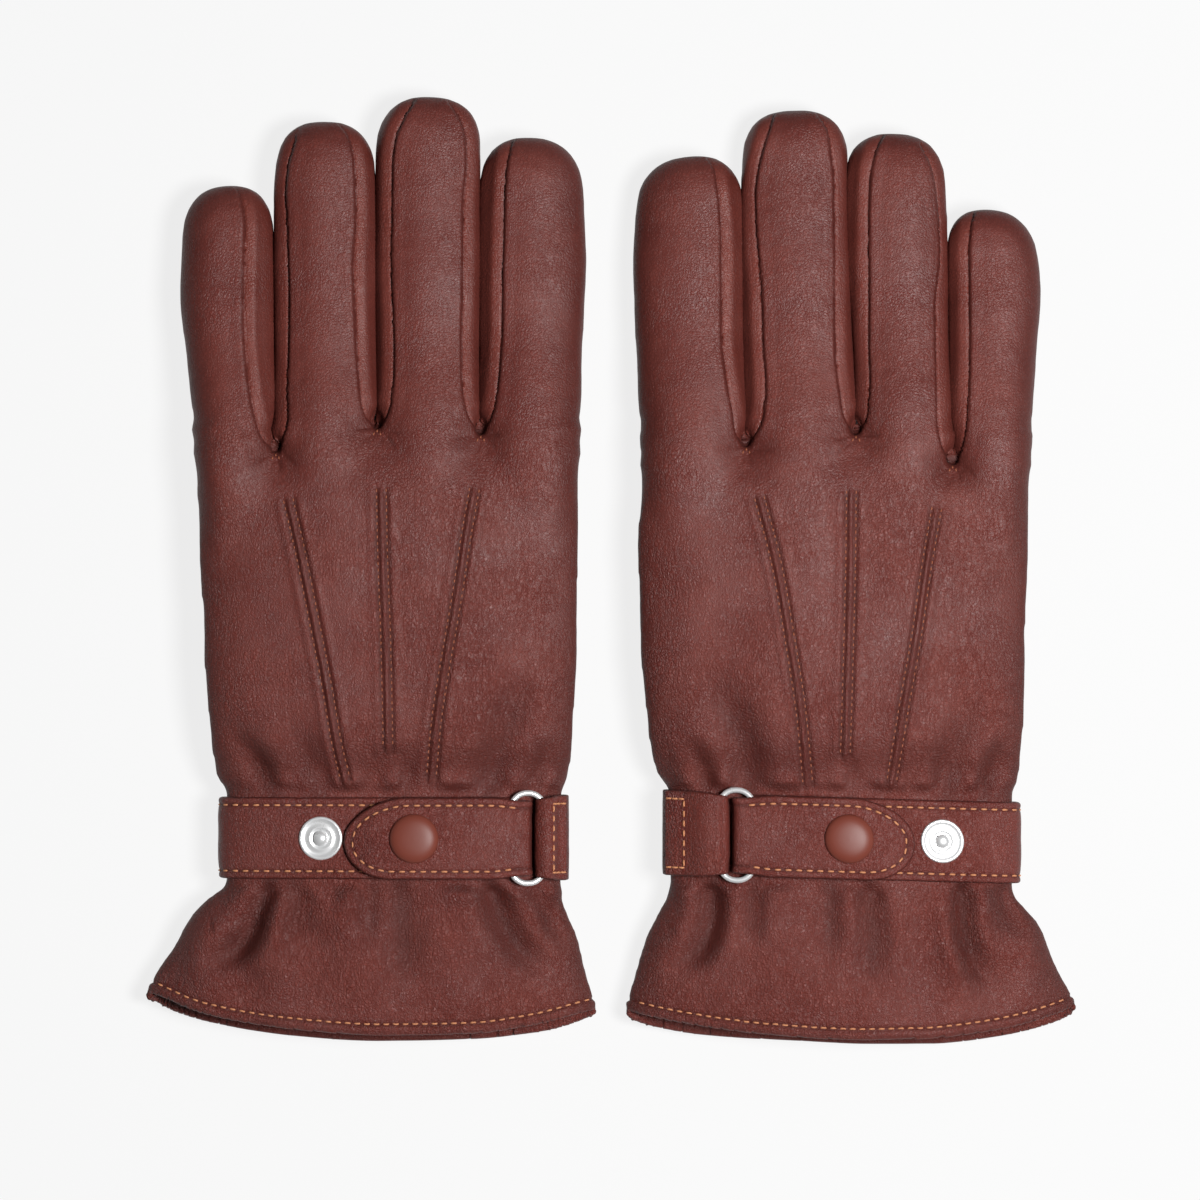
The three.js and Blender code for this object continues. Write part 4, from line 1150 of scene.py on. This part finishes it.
def lathe(name, glove, x, rise, profile, stands_for, look="nickel", slot="bright_nickel", body="glove",
          sides=48):
    """A turned piece that stands over the wrist at x."""
    seat, along, normal = glove.seat(x, rise)
    r, h = np.array(profile, float).T
    a = np.arange(sides) / sides * 2 * math.pi
    ring = np.stack([r[:, None] * np.cos(a), r[:, None] * np.sin(a), np.repeat(h[:, None], sides, 1)], -1)
    ring = ring.reshape(-1, 3)
    p = seat + ring[:, :1] * along + ring[:, 1:2] * CROSS + ring[:, 2:] * normal
    quads = wrapped_quads(len(profile), sides)
    piece(name, glove, glove.tilted(p), quads[:, ::-1], look, slot, stands_for, body)


def ring_wire(glove):
    """The oval ring, as a round wire."""
    path, outward = [], []
    for way_x, way_y, first in ((1, 1, 0), (-1, 1, 90), (-1, -1, 180), (1, -1, 270)):
        for angle in np.linspace(first, first + 90, 13):
            c, s = math.cos(math.radians(angle)), math.sin(math.radians(angle))
            path.append((way_x * (RING_BAR - RING_CORNER) + RING_CORNER * c,
                         way_y * (RING_HALF - RING_CORNER) + RING_CORNER * s))
            outward.append((c, s))
    path, outward = np.array(path), np.array(outward)
    sides = 16
    a = np.arange(sides) / sides * 2 * math.pi
    flat = path[:, None] + outward[:, None] * (RING_WIRE * np.cos(a))[None, :, None]
    up = np.repeat((RING_WIRE * np.sin(a))[None], len(path), 0)
    seat, along, normal = glove.seat(glove.ring, RING_RISE)
    p = seat + flat[..., :1] * along + flat[..., 1:] * CROSS + up[..., None] * normal
    quads = wrapped_quads(len(path), sides, closed=True)
    piece("ring_wire", glove, glove.tilted(p.reshape(-1, 3)), quads[:, ::-1], "nickel", "bright_nickel",
          "oval_ring", "ring")


def build_metal(glove):
    ring_wire(glove)
    lathe("cap_dome", glove, glove.cap, TAB_RISE + STRAP_THICK + 0.32, CAP, "snap_cap", "enamel",
          "cap_enamel", "tab", 72)
    lathe("socket_ring", glove, glove.cap, RING_RISE, SOCKET, "snap_socket", body="tab")
    on_strap = STRAP_THICK + 0.42
    lathe("stud_inner_button", glove, glove.cap, on_strap, INNER_STUD, "snap_stud_inner", sides=64)
    lathe("stud_outer_button", glove, glove.stud, on_strap, STUD, "snap_stud_outer", sides=64)


# ---------------------------------------------------------------- lining

def build_lining(glove):
    inset = 3.4
    sections = []
    for y in np.linspace(-126.5, 24, 60):
        little, index = float(glove.little_side(y)), float(glove.index_side(y))
        low, high = float(under(y)), float(over(y))
        deeper = inset + 1.6 * (1 - float(smoothstep(-92, -80, y)))
        sections.append(((little + index) / 2, y, (low + high) / 2, (index - little) / 2 - deeper,
                         (high - low) / 2 - deeper, HAND_POWER))
    points, faces = tube(sections, 64)
    points[:, 1] = np.maximum(points[:, 1], glove.front_edge(points[:, 0]) + 2.6)
    # Only the sleeve's sides: its two flat ends are left open.
    quads = np.array([face for face in faces if len(face) == 4])
    piece("lining_knit", glove, points, quads, "knit", "lining_fabric", "lining")


# ---------------------------------------------------------------- finishes

class Look:
    """A material with a Principled shader, and short names for the nodes that the finishes use."""

    def __init__(self, name):
        self.material = bpy.data.materials.new(name)
        self.material.use_nodes = True
        self.tree = self.material.node_tree
        self.shader = self.tree.nodes["Principled BSDF"]

    def fill(self, made, inputs):
        for key, value in inputs.items():
            if isinstance(value, bpy.types.NodeSocket):
                self.tree.links.new(value, made.inputs[key])
            else:
                made.inputs[key].default_value = value

    def node(self, kind, inputs, **settings):
        made = self.tree.nodes.new(kind)
        for key, value in settings.items():
            setattr(made, key, value)
        self.fill(made, inputs)
        return made

    def place(self):
        return self.node("ShaderNodeTexCoord", {}).outputs["Object"]

    def noise(self, vector, scale, detail=3.0, rough=0.5, output=0):
        inputs = {"Vector": vector, "Scale": scale, "Detail": detail, "Roughness": rough}
        return self.node("ShaderNodeTexNoise", inputs).outputs[output]

    def ramp(self, value, start, end, low=0.0, high=1.0, **settings):
        inputs = {"Value": value, "From Min": start, "From Max": end, "To Min": low, "To Max": high}
        return self.node("ShaderNodeMapRange", inputs, **settings).outputs[0]

    def cells(self, vector, scale):
        """Rounded cells: 0 along their edges, 1 inside them."""
        cells = self.node("ShaderNodeTexVoronoi", {"Vector": vector, "Scale": scale},
                          feature="DISTANCE_TO_EDGE")
        return self.ramp(cells.outputs["Distance"], 0.0, 0.3, interpolation_type="SMOOTHSTEP")

    def math(self, operation, a, b=0.0, clamp=False):
        return self.node("ShaderNodeMath", {0: a, 1: b}, operation=operation, use_clamp=clamp).outputs[0]

    def plus(self, *terms):
        total = terms[0]
        for term in terms[1:]:
            total = self.math("ADD", total, term)
        return total

    def times(self, a, b, clamp=False):
        return self.math("MULTIPLY", a, b, clamp)

    def mixed(self, factor, a, b):
        return self.node("ShaderNodeMix", {0: factor, 6: a, 7: b}, data_type="RGBA").outputs[2]

    def bumped(self, height, strength, distance):
        inputs = {"Height": height, "Strength": strength, "Distance": distance}
        return self.node("ShaderNodeBump", inputs).outputs["Normal"]

    def done(self, inputs):
        self.fill(self.shader, inputs)
        return self.material


def leather(name, dark, lit, deep):
    """Pebbled leather with hairline wrinkles. Shade is painted into it, towards the deep colour, where its
    attribute of painted shade is high, and it is rougher there; its grain is finer towards the fingertips."""
    look = Look(name)
    place = look.place()
    bent = look.noise(place, 260.0, 2.0, output="Color")
    shift = look.node("ShaderNodeVectorMath", {0: bent, "Scale": 0.0011}, operation="SCALE").outputs[0]
    warped = look.node("ShaderNodeVectorMath", {0: place, 1: shift}, operation="ADD").outputs[0]
    pebble, small = look.cells(warped, 1050.0), look.cells(warped, 2100.0)
    fine = look.noise(place, 2600.0)
    long_way = look.node("ShaderNodeMapping", {"Vector": warped, "Scale": (1.0, 0.3, 0.6)}).outputs[0]
    streaks = look.noise(long_way, 620.0, rough=0.65)
    hairs = look.ramp(look.math("ABSOLUTE", look.math("SUBTRACT", streaks, 0.5)), 0.0, 0.05)
    where = look.ramp(look.noise(place, 45.0), 0.36, 0.62)
    crease = look.node("ShaderNodeAttribute", {}, attribute_name="crease").outputs["Fac"]

    grain = look.times(pebble, look.plus(look.times(where, 0.6), 0.4))
    wrinkles = look.times(hairs, look.plus(look.times(where, 0.4), 0.2))
    height = look.plus(look.times(grain, 0.6), look.times(small, 0.25), wrinkles, look.times(fine, 0.2))
    along = look.node("ShaderNodeSeparateXYZ", {"Vector": place}).outputs["Y"]
    height = look.times(height, look.ramp(along, 0.06, -0.08, 0.65, 1.7))

    cloudy = look.ramp(look.noise(place, 70.0, 4.0, 0.6), 0.3, 0.7)
    valleys = look.times(look.math("SUBTRACT", 1.0, look.math("MINIMUM", pebble, hairs)), 0.28)
    colour = look.mixed(valleys, look.mixed(cloudy, dark, lit), deep)
    # Painted shade: the colour goes towards the deep colour in the grooves, folds, dimples and on the sides.
    colour = look.mixed(look.times(crease, 0.8, True), colour, deep)
    roughness = look.plus(look.times(cloudy, 0.1), 0.4, look.times(crease, 0.15))
    return look.done({"Base Color": colour, "Roughness": roughness, "Specular IOR Level": 0.33,
                      "Normal": look.bumped(height, 0.8, 0.00019), "Sheen Weight": 0.01,
                      "Sheen Roughness": 0.5, "Sheen Tint": (0.9, 0.62, 0.56, 1)})


def plain(name, colour, second, scale, rough, bump, metallic=0.0, specular=0.5):
    """One finish with slight clouds in its colour and roughness, and a fine grain."""
    look = Look(name)
    place = look.place()
    noise = look.noise(place, scale)
    grain = look.noise(place, 3000.0, 2.0)
    return look.done({"Base Color": look.mixed(noise, colour, second),
                      "Roughness": look.plus(look.times(noise, 0.12), rough - 0.06),
                      "Metallic": metallic, "Specular IOR Level": specular,
                      "Normal": look.bumped(grain, bump, 0.0001)})


def knitted(name, colour, second):
    look = Look(name)
    place = look.place()
    ribs, rows = (look.node("ShaderNodeTexWave", {"Vector": place, "Scale": scale, "Distortion": bend},
                            bands_direction=way).outputs[1]
                  for scale, bend, way in ((300.0, 1.5, "X"), (240.0, 1.0, "Y")))
    height = look.plus(ribs, look.times(rows, 0.6))
    return look.done({"Base Color": look.mixed(look.times(height, 0.6), second, colour), "Roughness": 0.95,
                      "Normal": look.bumped(height, 0.8, 0.0003), "Sheen Weight": 0.4})


def srgb(*channels):
    shares = [c / 255 for c in channels]
    return tuple(c / 12.92 if c <= 0.04045 else ((c + 0.055) / 1.055) ** 2.4 for c in shares) + (1.0,)


LOOKS = {
    # The third colour of each leather is that of its grain's valleys and of its painted shade.
    "leather": leather("leather_cognac", srgb(101, 43, 37), srgb(113, 51, 43), srgb(48, 16, 12)),
    "gusset": leather("leather_gusset", srgb(112, 49, 40), srgb(122, 56, 46), srgb(54, 17, 14)),
    "thread": plain("thread_tan", srgb(200, 138, 96), srgb(172, 108, 74), 900.0, 0.7, 0.5),
    "dark_thread": plain("thread_brown", srgb(160, 92, 60), srgb(118, 60, 42), 900.0, 0.7, 0.5),
    "nickel": plain("nickel_bright", srgb(238, 238, 238), srgb(222, 223, 224), 200.0, 0.28, 0.05, 0.5),
    "enamel": plain("enamel_brown", srgb(108, 52, 41), srgb(113, 57, 46), 120.0, 0.42, 0.04, specular=0.25),
    "knit": knitted("lining_knit", srgb(92, 70, 60), srgb(52, 38, 32)),
    "elastic": knitted("elastic_web", srgb(50, 44, 42), srgb(28, 25, 24)),
}


# ---------------------------------------------------------------- the pair

for name, data in (("left", LEFT), ("right", RIGHT)):
    glove = Glove(name, data)
    build_skin(glove)
    build_strap(glove)
    build_tab(glove)
    build_keeper(glove)
    build_metal(glove)
    build_lining(glove)
    build_threads(glove)
    for part, look in (("wrist_elastic", "elastic"), ("stud_post_inner", "nickel"),
                       ("stud_post_outer", "nickel")):
        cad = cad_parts[name + "_" + part]
        cad.data.materials.clear()
        cad.data.materials.append(LOOKS[look])


# ---------------------------------------------------------------- table, lights and camera

FLOOR_HALF, FLOOR_Z = 3, -0.0005
CAMERA_PLACE, CAMERA_LENS = (-0.00315, -0.00774, 2.347), 250

corners = [(-1, -1), (1, -1), (1, 1), (-1, 1)]
floor = new_object("floor", [(x * FLOOR_HALF, y * FLOOR_HALF, FLOOR_Z) for x, y in corners], [(0, 1, 2, 3)],
                   False)
floor.data.materials.append(Look("floor_pale").done({
    "Base Color": (0.1, 0.1, 0.1, 1), "Roughness": 1.0, "Specular IOR Level": 0.0,
    "Emission Color": (1, 1, 1, 1), "Emission Strength": 0.825}))

scene = bpy.context.scene
world = bpy.data.worlds.new("studio")
world.use_nodes = True
world.node_tree.nodes["Background"].inputs["Color"].default_value = (1, 1, 1, 1)
world.node_tree.nodes["Background"].inputs["Strength"].default_value = 0.035
scene.world = world


def area(name, place, size, power):
    """A round lamp that shines at the middle of the pair."""
    data = bpy.data.lights.new(name, "AREA")
    data.shape, data.size, data.energy = "DISK", size, power
    lamp = bpy.data.objects.new(name, data)
    lamp.location = place
    lamp.rotation_euler = (-Vector(place)).to_track_quat("-Z", "Y").to_euler()
    scene.collection.objects.link(lamp)


area("key", (0.33, -0.05, 0.92), 0.3, 13.0)
area("fill", (-0.9, 0.6, 1.0), 0.6, 0.35)

camera = bpy.data.objects.new("camera", bpy.data.cameras.new("camera"))
camera.data.lens, camera.data.sensor_width = CAMERA_LENS, 36
camera.location = CAMERA_PLACE
scene.collection.objects.link(camera)
scene.camera = camera
scene.view_settings.view_transform = "Standard"
